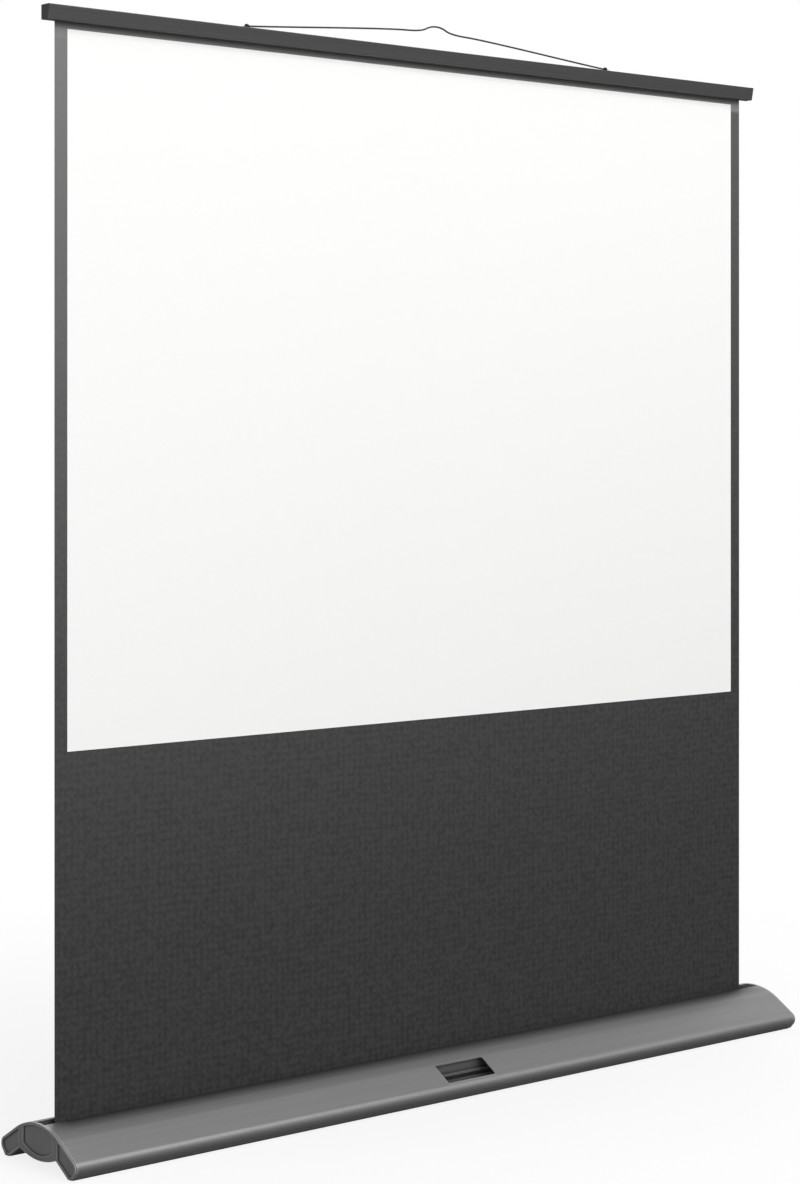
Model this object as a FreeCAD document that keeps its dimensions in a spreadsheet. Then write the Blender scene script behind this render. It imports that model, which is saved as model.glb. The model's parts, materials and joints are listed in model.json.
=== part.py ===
import FreeCAD, Part
import math
import os
import re

import Sketcher
from FreeCAD import Placement, Rotation, Vector

# A portable floor-standing projection screen, in millimetres.
# +X runs along the base to the viewer's right, +Y is rearward, +Z is up.
# The origin is the middle of the base's footprint, on the floor.

os.makedirs("parts", exist_ok=True)
document = FreeCAD.newDocument("projection_screen")
sheet = document.addObject("Spreadsheet::Sheet", "Sizes")

# Driving dimensions. Each one is a real size of its piece and can be set by itself.
SIZES = {
    # Picture and cloth
    "image_width": 1600,
    "image_height": 1200,
    "image_bottom": 679,
    "image_film": 0.15,
    "side_border": 25,
    "top_border": 11,
    "cloth_thickness": 0.4,
    "cloth_plane": 6.5,
    # Top slat
    "slat_height": 25,
    "slat_overhang": 23,
    "slat_front_top": 13,
    "slat_front_bottom": 8,
    "slat_rear": 11,
    "slat_skin": 1.6,
    "slat_round": 1.2,
    "slat_cap_plate": 1.5,
    "slat_cap_spigot": 10,
    "keder_radius": 2.1,
    "keder_height": 4.2,
    "keder_wall": 1.2,
    "keder_slit": 1.2,
    # Base extrusion
    "crest_height": 73.5,
    "crest_radius": 130,
    "shoulder_reach": 67,
    "nose_reach": 120.6,
    "nose_round": 13,
    "foot_reach": 101,
    "foot_inner_reach": 91,
    "foot_round": 1.5,
    "foot_strip_height": 1.2,
    "foot_strip_width": 8,
    "valley_reach": 55,
    "valley_height": 23.5,
    "belly_height": 13.2,
    "base_skin": 2,
    "slot_half_width": 13.5,
    "slot_lip_depth": 6,
    "slat_nest": 11,
    "floor_rib_reach": 64,
    "floor_rib_height": 6.5,
    "floor_rib_width": 2.4,
    "web_rib_bottom": 32.5,
    "web_rib_thickness": 4.5,
    "web_rib_depth": 5.2,
    # Hand grip cut-out in the front wing
    "grip_half_width": 57,
    "grip_front": 103.5,
    "grip_rear": 62.5,
    "grip_corner": 3,
    "grip_floor": 28,
    # End caps
    "cap_flange": 5,
    "cap_rim": 4,
    "cap_recess": 3,
    "cap_spigot": 12,
    "cap_wall": 2,
    "cap_groove_width": 3,
    "cap_groove_depth": 1.2,
    "cap_notch_width": 4,
    "cap_notch_height": 3,
    "lens_reach": 45,
    "lens_top_rim": 4.5,
    "lens_bottom_rim": 8,
    "lens_side_bottom": 34.5,
    # Roller, its spring and its bearings in the end caps
    "roller_height": 39,
    "roller_radius": 14,
    "roller_wall": 1.2,
    "roller_overhang": 1,
    "roller_end_gap": 6,
    "wraps_radius": 16,
    "bearing_radius": 8,
    "bearing_depth": 14,
    "bearing_backing": 11,
    "plug_depth": 16,
    "plug_flats": 8,
    "gudgeon_radius": 3,
    "gudgeon_grip": 12,
    "spring_shaft_radius": 4,
    "spring_shaft_length": 330,
    "spring_shaft_square": 6,
    "spring_radius": 8.5,
    "spring_wire": 2,
    "spring_length": 260,
    # Mast
    "mast_plane": 30,
    "pivot_height": 90,
    "pivot_pin_radius": 4,
    "pivot_pin_head_radius": 6.5,
    "pivot_pin_head_height": 2,
    "pivot_pin_head_flats": 6,
    "pivot_ear_width": 22,
    "pivot_ear_thickness": 3.2,
    "pivot_gap": 19.4,
    "pivot_base_length": 54,
    "pivot_base_height": 75.5,
    "foot_block_rise": 16,
    "foot_block_width": 21,
    "foot_spigot": 22,
    "lower_tube_radius": 11,
    "lower_tube_wall": 1.2,
    "lower_tube_length": 690,
    "mid_tube_radius": 9.2,
    "mid_tube_wall": 1.1,
    "mid_tube_length": 640,
    "mid_tube_overlap": 70,
    "top_tube_radius": 7.5,
    "top_tube_wall": 1,
    "top_tube_overlap": 64,
    "bush_depth": 12,
    "bush_spigot": 8,
    "collar_wall": 2.4,
    "collar_flats": 8,
    "collar_grip": 24,
    "collar_lip": 10,
    "collar_ear_thickness": 3,
    "collar_ear_height": 10,
    "lever_width": 9,
    "lever_hub": 4.5,
    "lever_length": 38,
    "lever_flare": 4,
    "lever_straight_share": 0.75,
    "lever_pin_radius": 1.5,
    "lever_pin_drop": 8,
    "head_height": 14,
    "head_wall": 1.8,
    "head_finger_width": 10,
    "head_finger_height": 5,
    "catch_sheet": 1.5,
    "catch_width": 32,
    "catch_height": 19,
    "catch_flange": 4.6,
    # Storage cradle for the folded mast
    "cradle_reach": 600,
    "cradle_length": 16,
    "cradle_wall": 1.7,
    "cradle_lip": 4,
    # Hanger wire on the slat
    "wire_radius": 1.6,
    "wire_plane": 1,
    "wire_reach": 430,
    "wire_end": 8,
    "wire_pivot_rise": 3,
    "wire_shoulder_reach": 110,
    "wire_shoulder_rise": 30.5,
    "wire_hump_reach": 36,
    "wire_hump_foot_rise": 32.5,
    "wire_hump_top_reach": 13,
    "wire_hump_rise": 44,
    "wire_bend": 8,
    "wire_long_bend": 60,
    "wire_hump_bend": 12,
    "wire_flats": 8,
    "eye_width": 5,
    "eye_depth": 8,
    "eye_foot_length": 11,
    "eye_foot_plate": 1.2,
    # Clearances
    "seat_gap": 0.3,
    "slide_gap": 0.08,
    "pin_gap": 0.05,
    "overrun": 2,
}

# Sizes that follow from the driving ones.
DERIVED = {
    "cloth_width": "image_width + 2 * side_border",
    "cloth_front": "cloth_plane - cloth_thickness / 2",
    "slat_bottom": "image_bottom + image_height + top_border",
    "slat_top": "slat_bottom + slat_height",
    "slat_length": "cloth_width + 2 * slat_overhang",
    "slat_body_length": "slat_length - 2 * slat_cap_plate",
    "keder_channel_radius": "keder_radius + pin_gap",
    "cloth_top": "slat_bottom + keder_height - keder_radius",
    "crest_centre": "crest_height - crest_radius",
    "shoulder_run": "sqrt(crest_radius ^ 2 - shoulder_reach ^ 2)",
    "shoulder_height": "crest_centre + shoulder_run",
    "nose_height": "shoulder_height - (nose_reach - shoulder_reach) * shoulder_reach / shoulder_run",
    "web_top": "crest_centre + sqrt(crest_radius ^ 2 - valley_reach ^ 2)",
    "web_shoulder_reach": "(valley_reach + shoulder_reach) / 2",
    "web_shoulder_height": "crest_centre + sqrt(crest_radius ^ 2 - web_shoulder_reach ^ 2)",
    "wing_floor_slope": "(valley_height - foot_strip_height) / (foot_inner_reach - valley_reach)",
    "roller_plane": "cloth_front - wraps_radius - seat_gap / 2",
    "roller_end": "cloth_width / 2 + roller_overhang",
    "bearing_start": "roller_end + roller_end_gap",
    "housing_end": "bearing_start + bearing_depth + bearing_backing",
    "housing_length": "2 * housing_end",
    "base_length": "2 * (housing_end + cap_flange)",
    "lens_side_top": "crest_centre + sqrt((crest_radius - lens_top_rim) ^ 2 - lens_reach ^ 2)",
    "plug_radius": "roller_radius - roller_wall",
    "lower_tube_bottom": "pivot_height + foot_block_rise",
    "lower_tube_top": "lower_tube_bottom + lower_tube_length",
    "lower_tube_bore": "lower_tube_radius - lower_tube_wall",
    "mid_tube_bottom": "lower_tube_top - mid_tube_overlap",
    "mid_tube_top": "mid_tube_bottom + mid_tube_length",
    "mid_tube_bore": "mid_tube_radius - mid_tube_wall",
    "top_tube_bottom": "mid_tube_top - top_tube_overlap",
    "top_tube_bore": "top_tube_radius - top_tube_wall",
    "head_top": "slat_top - catch_sheet - seat_gap",
    "head_bottom": "head_top - head_height",
    "wire_axis_height": "slat_top + wire_pivot_rise",
}
for row, (name, number) in enumerate(SIZES.items(), start=1):
    sheet.set(f"A{row}", name)
    sheet.set(f"B{row}", str(number))
    sheet.setAlias(f"B{row}", name)
for row, (name, formula) in enumerate(DERIVED.items(), start=1):
    sheet.set(f"D{row}", name)
    sheet.set(f"E{row}", "=" + formula)
    sheet.setAlias(f"E{row}", name)
document.recompute()


def bound(text):
    """An expression in the sheet's names, as the features' properties need it."""
    return re.sub(r"[a-z_]+", lambda word: "Sizes." + word[0] if known(word[0]) else word[0], str(text))


def known(word):
    return word in SIZES or word in DERIVED


def value(text):
    """The number that an expression in the sheet's names gives now."""
    return float(sheet.evalExpression(bound(text)))


def bind(thing, prop, text):
    thing.setExpression(prop, bound(text))


# Directions for pieces that are drawn upright and then laid down
UPRIGHT = Rotation()
ALONG_X = Rotation(Vector(0, 1, 0), 90)
AGAINST_X = Rotation(Vector(0, 1, 0), -90)
ALONG_Y = Rotation(Vector(1, 0, 0), -90)
ACROSS_X = Rotation(Vector(1, 1, 1), 120)
ACROSS_Y = Rotation(Vector(1, 0, 0), 90)
AXES = {"x": Vector(1, 0, 0), "y": Vector(0, 1, 0), "z": Vector(0, 0, 1)}
PLANE_NORMALS = {"XY_Plane": 1, "XZ_Plane": -1, "YZ_Plane": 1}

pieces = {}


def keep(label, thing):
    """Register a finished piece: its label is the name of its file."""
    thing.Label = label
    pieces[label] = thing
    return thing


def place(thing, at=(0, 0, 0), turn=UPRIGHT):
    thing.Placement = Placement(Vector(), turn)
    for axis, text in zip("xyz", at):
        bind(thing, f"Placement.Base.{axis}", text)
    return thing


# Sketches


def pin_point(sketch, geometry, position, u, v):
    """Hold one point of a sketch at two expressions from the sketch's origin."""
    for kind, text in (("DistanceX", u), ("DistanceY", v)):
        index = sketch.addConstraint(
            Sketcher.Constraint(kind, -1, 1, geometry, position, value(text))
        )
        sketch.setExpression(f"Constraints[{index}]", bound(text))


def arc_through(start, middle, end):
    """An arc whose own direction is counter-clockwise, whichever way it is met."""
    turning = (middle - start).cross(end - middle).z
    return Part.Arc(start, middle, end) if turning > 0 else Part.Arc(end, middle, start)


def end_at(sketch, geometry, point):
    """Which end of a sketch edge lies at a point: 1 for its start, 2 for its end."""
    edge = sketch.Geometry[geometry]
    return 1 if (edge.StartPoint - point).Length < (edge.EndPoint - point).Length else 2


def round_points(before, corner, after, radius):
    """Where a round of a given radius leaves its two lines, and its middle."""
    first = (before - corner).normalize()
    second = (after - corner).normalize()
    half = first.getAngle(second) / 2
    setback = radius / math.tan(half)
    middle = corner + (first + second).normalize() * (radius / math.sin(half) - radius)
    return corner + first * setback, middle, corner + second * setback


def draw(sketch, corners, closed=True):
    """Draw an outline through corners, each (u, v), (u, v, radius) for a rounded one,
    or (u, v, via_u, via_v) where an arc through via leads to it."""
    points = [Vector(value(c[0]), value(c[1]), 0) for c in corners]
    count = len(corners)
    radii = [c[2] if len(c) == 3 else None for c in corners]
    leave = list(points)
    arrive = list(points)
    rounds = {}
    for i in range(count):
        if radii[i] is not None:
            start, middle, end = round_points(
                points[i - 1], points[i], points[(i + 1) % count], value(radii[i])
            )
            arrive[i] = start
            leave[i] = end
            rounds[i] = (start, middle, end)
    edges = []
    for i in range(0 if closed else 1, count):
        if len(corners[i]) == 4:
            via = Vector(value(corners[i][2]), value(corners[i][3]), 0)
            edge = sketch.addGeometry(arc_through(leave[i - 1], via, arrive[i]), False)
            mark = sketch.addGeometry(Part.Point(via), True)
            pin_point(sketch, mark, 1, corners[i][2], corners[i][3])
            sketch.addConstraint(Sketcher.Constraint("PointOnObject", mark, 1, edge))
        else:
            edge = sketch.addGeometry(Part.LineSegment(leave[i - 1], arrive[i]), False)
        edges.append((i, edge))
    by_corner = dict(edges)
    for i in range(count):
        into = by_corner.get(i)
        out = by_corner.get((i + 1) % count)
        if radii[i] is None:
            for edge in (into, out):
                if edge is not None:
                    pin_point(sketch, edge, end_at(sketch, edge, points[i]), corners[i][0], corners[i][1])
                    break
            if into is not None and out is not None:
                sketch.addConstraint(
                    Sketcher.Constraint(
                        "Coincident",
                        into,
                        end_at(sketch, into, points[i]),
                        out,
                        end_at(sketch, out, points[i]),
                    )
                )
            continue
        start, middle, end = rounds[i]
        arc = sketch.addGeometry(arc_through(start, middle, end), False)
        mark = sketch.addGeometry(Part.Point(points[i]), True)
        pin_point(sketch, mark, 1, corners[i][0], corners[i][1])
        sketch.addConstraint(Sketcher.Constraint("PointOnObject", mark, 1, into))
        sketch.addConstraint(Sketcher.Constraint("PointOnObject", mark, 1, out))
        for edge, point in ((into, start), (out, end)):
            sketch.addConstraint(
                Sketcher.Constraint(
                    "Tangent",
                    edge,
                    end_at(sketch, edge, point),
                    arc,
                    end_at(sketch, arc, point),
                )
            )
        index = sketch.addConstraint(Sketcher.Constraint("Radius", arc, value(radii[i])))
        sketch.setExpression(f"Constraints[{index}]", bound(radii[i]))
    return sketch


def draw_circle(sketch, u, v, radius):
    centre = Vector(value(u), value(v), 0)
    edge = sketch.addGeometry(Part.Circle(centre, Vector(0, 0, 1), value(radius)), False)
    pin_point(sketch, edge, 3, u, v)
    index = sketch.addConstraint(Sketcher.Constraint("Radius", edge, value(radius)))
    sketch.setExpression(f"Constraints[{index}]", bound(radius))


def section(name, corners, turn=ACROSS_X):
    """A free sketch of a cross-section. Across X, its u is Y and its v is Z."""
    sketch = document.addObject("Sketcher::SketchObject", name)
    sketch.Placement = Placement(Vector(), turn)
    return draw(sketch, corners)


# PartDesign pieces


def new_body(label, at=(0, 0, 0), turn=UPRIGHT):
    body = document.addObject("PartDesign::Body", label)
    place(body, at, turn)
    return keep(label, body)


def body_sketch(body, plane, start, shapes, closed=True):
    """A sketch on one of the body's own planes, moved along that plane's world axis."""
    sketch = body.newObject("Sketcher::SketchObject", body.Name + "_sketch")
    support = [f for f in body.Origin.OriginFeatures if f.Role == plane][0]
    sketch.AttachmentSupport = [(support, "")]
    sketch.MapMode = "FlatFace"
    bind(sketch, "AttachmentOffset.Base.z", f"({start}) * {PLANE_NORMALS[plane]}")
    for shape in shapes:
        if isinstance(shape[0], (tuple, list)):
            draw(sketch, shape, closed)
        else:
            draw_circle(sketch, *shape)
    return sketch


def pad(body, plane, start, length, shapes):
    """Grow shapes from start by length, towards plus along the plane's world axis."""
    feature = body.newObject("PartDesign::Pad", body.Name + "_pad")
    feature.Profile = body_sketch(body, plane, start, shapes)
    feature.Reversed = PLANE_NORMALS[plane] < 0
    bind(feature, "Length", length)
    return feature


def pocket(body, plane, start, length, shapes):
    """Cut shapes from start by length, towards plus along the plane's world axis."""
    feature = body.newObject("PartDesign::Pocket", body.Name + "_pocket")
    feature.Profile = body_sketch(body, plane, start, shapes)
    feature.Reversed = PLANE_NORMALS[plane] > 0
    bind(feature, "Length", length)
    return feature


# Part primitives and booleans


def box(name, at, size):
    thing = document.addObject("Part::Box", name)
    for prop, text in zip(("Length", "Width", "Height"), size):
        bind(thing, prop, text)
    return place(thing, at)


def rod(name, radius, length, at, turn=UPRIGHT):
    thing = document.addObject("Part::Cylinder", name)
    bind(thing, "Radius", radius)
    bind(thing, "Height", length)
    return place(thing, at, turn)


def extrude(name, profile, start, length, along="x"):
    """A free section carried along one axis from start."""
    thing = document.addObject("Part::Extrusion", name)
    thing.Base = profile
    thing.DirMode = "Custom"
    thing.Dir = AXES[along]
    thing.Solid = True
    bind(thing, "LengthFwd", length)
    bind(thing, f"Placement.Base.{along}", start)
    return thing


def inset(name, profile, distance):
    """A section drawn in by a distance on all sides."""
    thing = document.addObject("Part::Offset2D", name)
    thing.Source = profile
    thing.Join = "Intersection"
    bind(thing, "Value", f"-({distance})")
    return thing


def cut(name, base, tools):
    result = base
    for index, tool in enumerate(tools):
        step = document.addObject("Part::Cut", f"{name}_cut_{index}")
        step.Base = result
        step.Tool = tool
        result = step
    return result


def fuse(name, shapes):
    thing = document.addObject("Part::MultiFuse", name + "_fuse")
    thing.Shapes = shapes
    return thing


def mirrored(name, source):
    """The same shape on the other side of the X = 0 plane."""
    thing = document.addObject("Part::Mirroring", name)
    thing.Source = source
    thing.Normal = Vector(1, 0, 0)
    return thing


def mirrored_front(name, source):
    """The same shape on the other side of the Y = 0 plane."""
    thing = document.addObject("Part::Mirroring", name)
    thing.Source = source
    thing.Normal = Vector(0, 1, 0)
    return thing


def flats(u, v, radius, count):
    """The corners of a regular polygon that fits in a circle, with a flat on its right."""
    step = 360 / int(value(count))
    turns = [step * (index + 0.5) for index in range(int(value(count)))]
    return [(f"{u} + ({radius}) * cos({turn})", f"{v} + ({radius}) * sin({turn})") for turn in turns]


# The base: one long extruded section with a hollow wing on each side of a round belly

outer_section = section(
    "outer_section",
    [
        ("-shoulder_reach", "shoulder_height"),
        ("shoulder_reach", "shoulder_height", 0, "crest_height"),
        ("nose_reach", "nose_height", "nose_round"),
        ("foot_reach", "foot_strip_height", "foot_round"),
        ("foot_inner_reach", "foot_strip_height"),
        ("valley_reach", "valley_height"),
        ("-valley_reach", "valley_height", 0, "belly_height"),
        ("-foot_inner_reach", "foot_strip_height"),
        ("-foot_reach", "foot_strip_height", "foot_round"),
        ("-nose_reach", "nose_height", "nose_round"),
    ],
)
belly_section = section(
    "belly_section",
    [
        ("-valley_reach", "web_top"),
        ("valley_reach", "web_top", 0, "crest_height"),
        ("valley_reach", "valley_height"),
        ("-valley_reach", "valley_height", 0, "belly_height"),
    ],
)
wing_section = section(
    "wing_section",
    [
        ("valley_reach", "web_top"),
        ("shoulder_reach", "shoulder_height", "web_shoulder_reach", "web_shoulder_height"),
        ("nose_reach", "nose_height", "nose_round"),
        ("foot_reach", "foot_strip_height", "foot_round"),
        ("foot_inner_reach", "foot_strip_height"),
        ("valley_reach", "valley_height"),
    ],
)


def through(name, profile):
    """A section carried past both ends of the base, to cut with."""
    return extrude(name, profile, "-housing_end - overrun", "housing_length + 2 * overrun")


def whole_length(name, profile):
    return extrude(name, profile, "-housing_end", "housing_length")


def long_box(name, y, z, width, height):
    return box(name, ("-housing_end", y, z), ("housing_length", width, height))


def front_and_rear(name, shape):
    return [shape, mirrored_front(name + "_front", shape)]


skinned_belly = inset("skinned_belly", belly_section, "base_skin")
skinned_wing = inset("skinned_wing", wing_section, "base_skin")
shell = cut(
    "shell",
    whole_length("base_bar", outer_section),
    [through("belly_hollow", skinned_belly)]
    + front_and_rear("wing_hollow", through("wing_hollow", skinned_wing)),
)
slot_lips = front_and_rear(
    "slot_lip",
    long_box(
        "slot_lip",
        "slot_half_width",
        "crest_height - base_skin - slot_lip_depth",
        "base_skin",
        "slot_lip_depth",
    ),
)

ribs = front_and_rear(
    "floor_rib",
    long_box(
        "floor_rib",
        "floor_rib_reach - floor_rib_width / 2",
        "valley_height - wing_floor_slope * (floor_rib_reach - valley_reach) + base_skin / 2",
        "floor_rib_width",
        "floor_rib_height",
    ),
)
ribs += front_and_rear(
    "web_rib",
    long_box(
        "web_rib",
        "valley_reach + base_skin / 2",
        "web_rib_bottom",
        "base_skin / 2 + web_rib_depth",
        "web_rib_thickness",
    ),
)
grip_section = section(
    "grip_section",
    [
        ("-grip_half_width", "-grip_front", "grip_corner"),
        ("grip_half_width", "-grip_front", "grip_corner"),
        ("grip_half_width", "-grip_rear", "grip_corner"),
        ("-grip_half_width", "-grip_rear", "grip_corner"),
    ],
    UPRIGHT,
)
grip_tool = extrude("grip_tool", grip_section, "grip_floor", "crest_height", "z")
slot_tool = box(
    "slot_tool",
    ("-housing_end - overrun", "-slot_half_width", "crest_height - base_skin - slot_lip_depth"),
    ("housing_length + 2 * overrun", "2 * slot_half_width", "2 * base_skin + slot_lip_depth"),
)
keep(
    "base_housing",
    cut(
        "base_housing",
        fuse("base_housing", [shell] + slot_lips + ribs),
        [slot_tool, grip_tool],
    ),
)

# Rubber strips that the base stands on
for side, sign in (("rear", ""), ("front", "-")):
    strip = new_body(f"foot_strip_{side}")
    middle = f"{sign}(foot_reach + foot_inner_reach) / 2"
    pad(
        strip,
        "YZ_Plane",
        "-housing_end",
        "housing_length",
        [
            [
                (f"{middle} - foot_strip_width / 2", "foot_strip_height"),
                (f"{middle} - foot_strip_width / 2 + foot_strip_height / 2", 0),
                (f"{middle} + foot_strip_width / 2 - foot_strip_height / 2", 0),
                (f"{middle} + foot_strip_width / 2", "foot_strip_height"),
            ]
        ],
    )

# End caps: a flange over the section's end, sunk panels outside, spigots and a bearing inside
lens_section = section(
    "lens_section",
    [
        ("-lens_reach", "lens_side_top"),
        ("lens_reach", "lens_side_top", 0, "crest_height - lens_top_rim"),
        ("lens_reach", "lens_side_bottom"),
        ("-lens_reach", "lens_side_bottom", 0, "belly_height + lens_bottom_rim"),
    ],
)
plug_inner_reach = "valley_reach + base_skin + web_rib_depth + seat_gap"
plug_section = section(
    "plug_section",
    [
        (plug_inner_reach, "shoulder_height - 2 * base_skin"),
        ("shoulder_reach", "shoulder_height - 2 * base_skin"),
        ("foot_inner_reach", "nose_height + base_skin"),
        ("foot_inner_reach", "nose_height - base_skin"),
        (plug_inner_reach, "nose_height + 3 * base_skin"),
    ],
)
rim_wing = inset("rim_wing", wing_section, "cap_rim")
spigot_belly = inset("spigot_belly", belly_section, "base_skin + seat_gap")
spigot_belly_bore = inset("spigot_belly_bore", belly_section, "base_skin + seat_gap + cap_wall")
AXIS = ("roller_plane", "roller_height")


def on_axis(x):
    return (x, *AXIS)


def spigot_ring(name, outside, inside):
    """A wall that follows the inside of the extrusion, from the flange inwards."""
    bore_start = "housing_end - cap_spigot - overrun"
    return cut(
        name,
        extrude(name + "_bar", outside, "housing_end - cap_spigot", "cap_spigot"),
        [extrude(name + "_bore", inside, bore_start, "cap_spigot + overrun")],
    )


def end_cap(name, socket):
    """The right-hand cap, with a socket of its own in its bearing."""
    outside = "base_length / 2 - cap_recess"
    deeper = "base_length / 2 - cap_recess - cap_groove_depth"
    flange = extrude(name + "_flange", outer_section, "housing_end", "cap_flange")
    belly_ring = spigot_ring(name + "_belly_ring", spigot_belly, spigot_belly_bore)
    cross_bars = [
        box(
            name + "_level_web",
            ("housing_end - cap_spigot", "-lens_reach", "roller_height - cap_wall / 2"),
            ("cap_spigot", "2 * lens_reach", "cap_wall"),
        ),
        box(
            name + "_upright_web",
            (
                "housing_end - cap_spigot",
                "roller_plane - cap_wall / 2",
                "belly_height + base_skin + cap_wall",
            ),
            ("cap_spigot", "cap_wall", "roller_height - belly_height"),
        ),
    ]
    slat_room = box(
        name + "_slat_room",
        (
            "housing_end - cap_spigot - overrun",
            "-slot_half_width - base_skin - seat_gap",
            "crest_height - slat_nest - overrun",
        ),
        (
            "cap_spigot + overrun",
            "2 * (slot_half_width + base_skin + seat_gap)",
            "slat_nest + 2 * overrun",
        ),
    )
    wing_plug = extrude(name + "_wing_plug", plug_section, "housing_end - cap_spigot", "cap_spigot")
    bearing = rod(
        name + "_bearing",
        "bearing_radius",
        "housing_end - bearing_start",
        on_axis("bearing_start"),
        ALONG_X,
    )
    inner = fuse(
        name + "_inner",
        [cut(name + "_middle", fuse(name + "_web", [belly_ring] + cross_bars), [slat_room])]
        + front_and_rear(name + "_wing_plug", wing_plug)
        + [bearing],
    )
    panel_depth = "cap_recess + overrun"
    panels = [extrude(name + "_lens", lens_section, outside, panel_depth)]
    panels += front_and_rear(
        name + "_pocket", extrude(name + "_pocket", rim_wing, outside, panel_depth)
    )
    groove = box(
        name + "_groove",
        (deeper, "lens_reach - cap_groove_width", "lens_side_bottom + cap_groove_width"),
        (panel_depth, "cap_groove_width", "lens_side_top - lens_side_bottom - 2 * cap_groove_width"),
    )
    notch = box(
        name + "_notch",
        (
            deeper,
            "slot_half_width - cap_notch_width / 2",
            "crest_height - lens_top_rim - cap_notch_height",
        ),
        (panel_depth, "cap_notch_width", "cap_notch_height"),
    )
    sunk = front_and_rear(name + "_groove", groove) + front_and_rear(name + "_notch", notch)
    return cut(name, fuse(name, [flange, inner]), [socket] + panels + sunk)


square_socket = box(
    "square_socket",
    (
        "bearing_start - overrun",
        "roller_plane - spring_shaft_square / 2 - pin_gap",
        "roller_height - spring_shaft_square / 2 - pin_gap",
    ),
    (
        "bearing_depth + overrun",
        "spring_shaft_square + 2 * pin_gap",
        "spring_shaft_square + 2 * pin_gap",
    ),
)
round_socket = rod(
    "round_socket",
    "gudgeon_radius + pin_gap",
    "bearing_depth + overrun",
    on_axis("bearing_start - overrun"),
    ALONG_X,
)
keep("end_cap_right", end_cap("cap_right", square_socket))
keep("end_cap_left", mirrored("cap_left_outside", end_cap("cap_left", round_socket)))


# Roller: tube, plugs, gudgeon at the left, wind-up spring on a fixed shaft at the right


def sleeve(label, outer, inner, length, at, turn=UPRIGHT):
    body = new_body(label, at, turn)
    pad(body, "XY_Plane", "0", length, [("0", "0", outer), ("0", "0", inner)])
    return body


sleeve(
    "roller_tube",
    "roller_radius",
    "plug_radius",
    "2 * roller_end",
    on_axis("-roller_end"),
    ALONG_X,
)
sleeve(
    "fabric_wraps",
    "wraps_radius",
    "roller_radius",
    "cloth_width",
    on_axis("-cloth_width / 2"),
    ALONG_X,
)
for side, x, turn, bore in (
    ("left", "-roller_end", AGAINST_X, "gudgeon_radius"),
    ("right", "roller_end", ALONG_X, "spring_shaft_radius + pin_gap"),
):
    plug = new_body(f"roller_plug_{side}", on_axis(x), turn)
    pad(plug, "XY_Plane", "-plug_depth", "plug_depth", [flats("0", "0", "plug_radius", "plug_flats")])
    pocket(plug, "XY_Plane", "-plug_depth - overrun", "plug_depth + 2 * overrun", [("0", "0", bore)])
gudgeon = new_body("roller_gudgeon", on_axis("-roller_end"), AGAINST_X)
pad(
    gudgeon,
    "XY_Plane",
    "-gudgeon_grip",
    "gudgeon_grip + roller_end_gap + bearing_depth - seat_gap",
    [("0", "0", "gudgeon_radius")],
)
shaft_start = "bearing_start - spring_shaft_length"
shaft = new_body("spring_shaft", on_axis(shaft_start), ALONG_X)
pad(shaft, "XY_Plane", "0", "spring_shaft_length - seat_gap", [("0", "0", "spring_shaft_radius")])
half_square = "spring_shaft_square / 2"
pad(
    shaft,
    "XY_Plane",
    "spring_shaft_length - overrun",
    "bearing_depth + overrun - seat_gap",
    [
        [
            (f"-{half_square}", f"-{half_square}"),
            (half_square, f"-{half_square}"),
            (half_square, half_square),
            (f"-{half_square}", half_square),
        ]
    ],
)
sleeve(
    "torsion_spring",
    "spring_radius",
    "spring_radius - spring_wire",
    "spring_length",
    on_axis("roller_end - plug_depth - seat_gap - spring_length"),
    ALONG_X,
)

# Cloth: a black-backed sheet from the roller to the slat, and the white picture surface on it
cloth = new_body("screen_fabric")
pad(
    cloth,
    "XY_Plane",
    "roller_height",
    "cloth_top - roller_height",
    [
        [
            ("-cloth_width / 2", "cloth_front"),
            ("cloth_width / 2", "cloth_front"),
            ("cloth_width / 2", "cloth_front + cloth_thickness"),
            ("-cloth_width / 2", "cloth_front + cloth_thickness"),
        ]
    ],
)
image = new_body("image_surface")
pad(
    image,
    "XY_Plane",
    "image_bottom",
    "image_height",
    [
        [
            ("-image_width / 2", "cloth_front - image_film"),
            ("image_width / 2", "cloth_front - image_film"),
            ("image_width / 2", "cloth_front"),
            ("-image_width / 2", "cloth_front"),
        ]
    ],
)

# Top slat: a wedge section, drawn from the slat's own bottom at Z = 0
slat_outline = [
    ("-slat_front_bottom", 0, "slat_round"),
    ("slat_rear", 0, "slat_round"),
    ("slat_rear", "slat_height", "slat_round"),
    ("-slat_front_top", "slat_height", "slat_round"),
]
chamber_floor = "keder_height + keder_channel_radius + keder_wall"
lean = "(slat_front_top - slat_front_bottom) / slat_height"
chamber_outline = [
    (f"-slat_front_bottom + slat_skin - ({chamber_floor}) * {lean}", chamber_floor),
    ("slat_rear - slat_skin", chamber_floor),
    ("slat_rear - slat_skin", "slat_height - slat_skin"),
    ("-slat_front_top + 2 * slat_skin", "slat_height - slat_skin"),
]
slat = new_body("top_slat", ("0", "0", "slat_bottom"))
pad(slat, "YZ_Plane", "-slat_body_length / 2", "slat_body_length", [slat_outline])
past_ends = ("-slat_body_length / 2 - overrun", "slat_body_length + 2 * overrun")
pocket(slat, "YZ_Plane", *past_ends, [chamber_outline])
pocket(slat, "YZ_Plane", *past_ends, [("cloth_plane", "keder_height", "keder_channel_radius")])
pocket(
    slat,
    "YZ_Plane",
    *past_ends,
    [
        [
            ("cloth_plane - keder_slit / 2", "-overrun"),
            ("cloth_plane + keder_slit / 2", "-overrun"),
            ("cloth_plane + keder_slit / 2", "keder_height"),
            ("cloth_plane - keder_slit / 2", "keder_height"),
        ]
    ],
)
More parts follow.
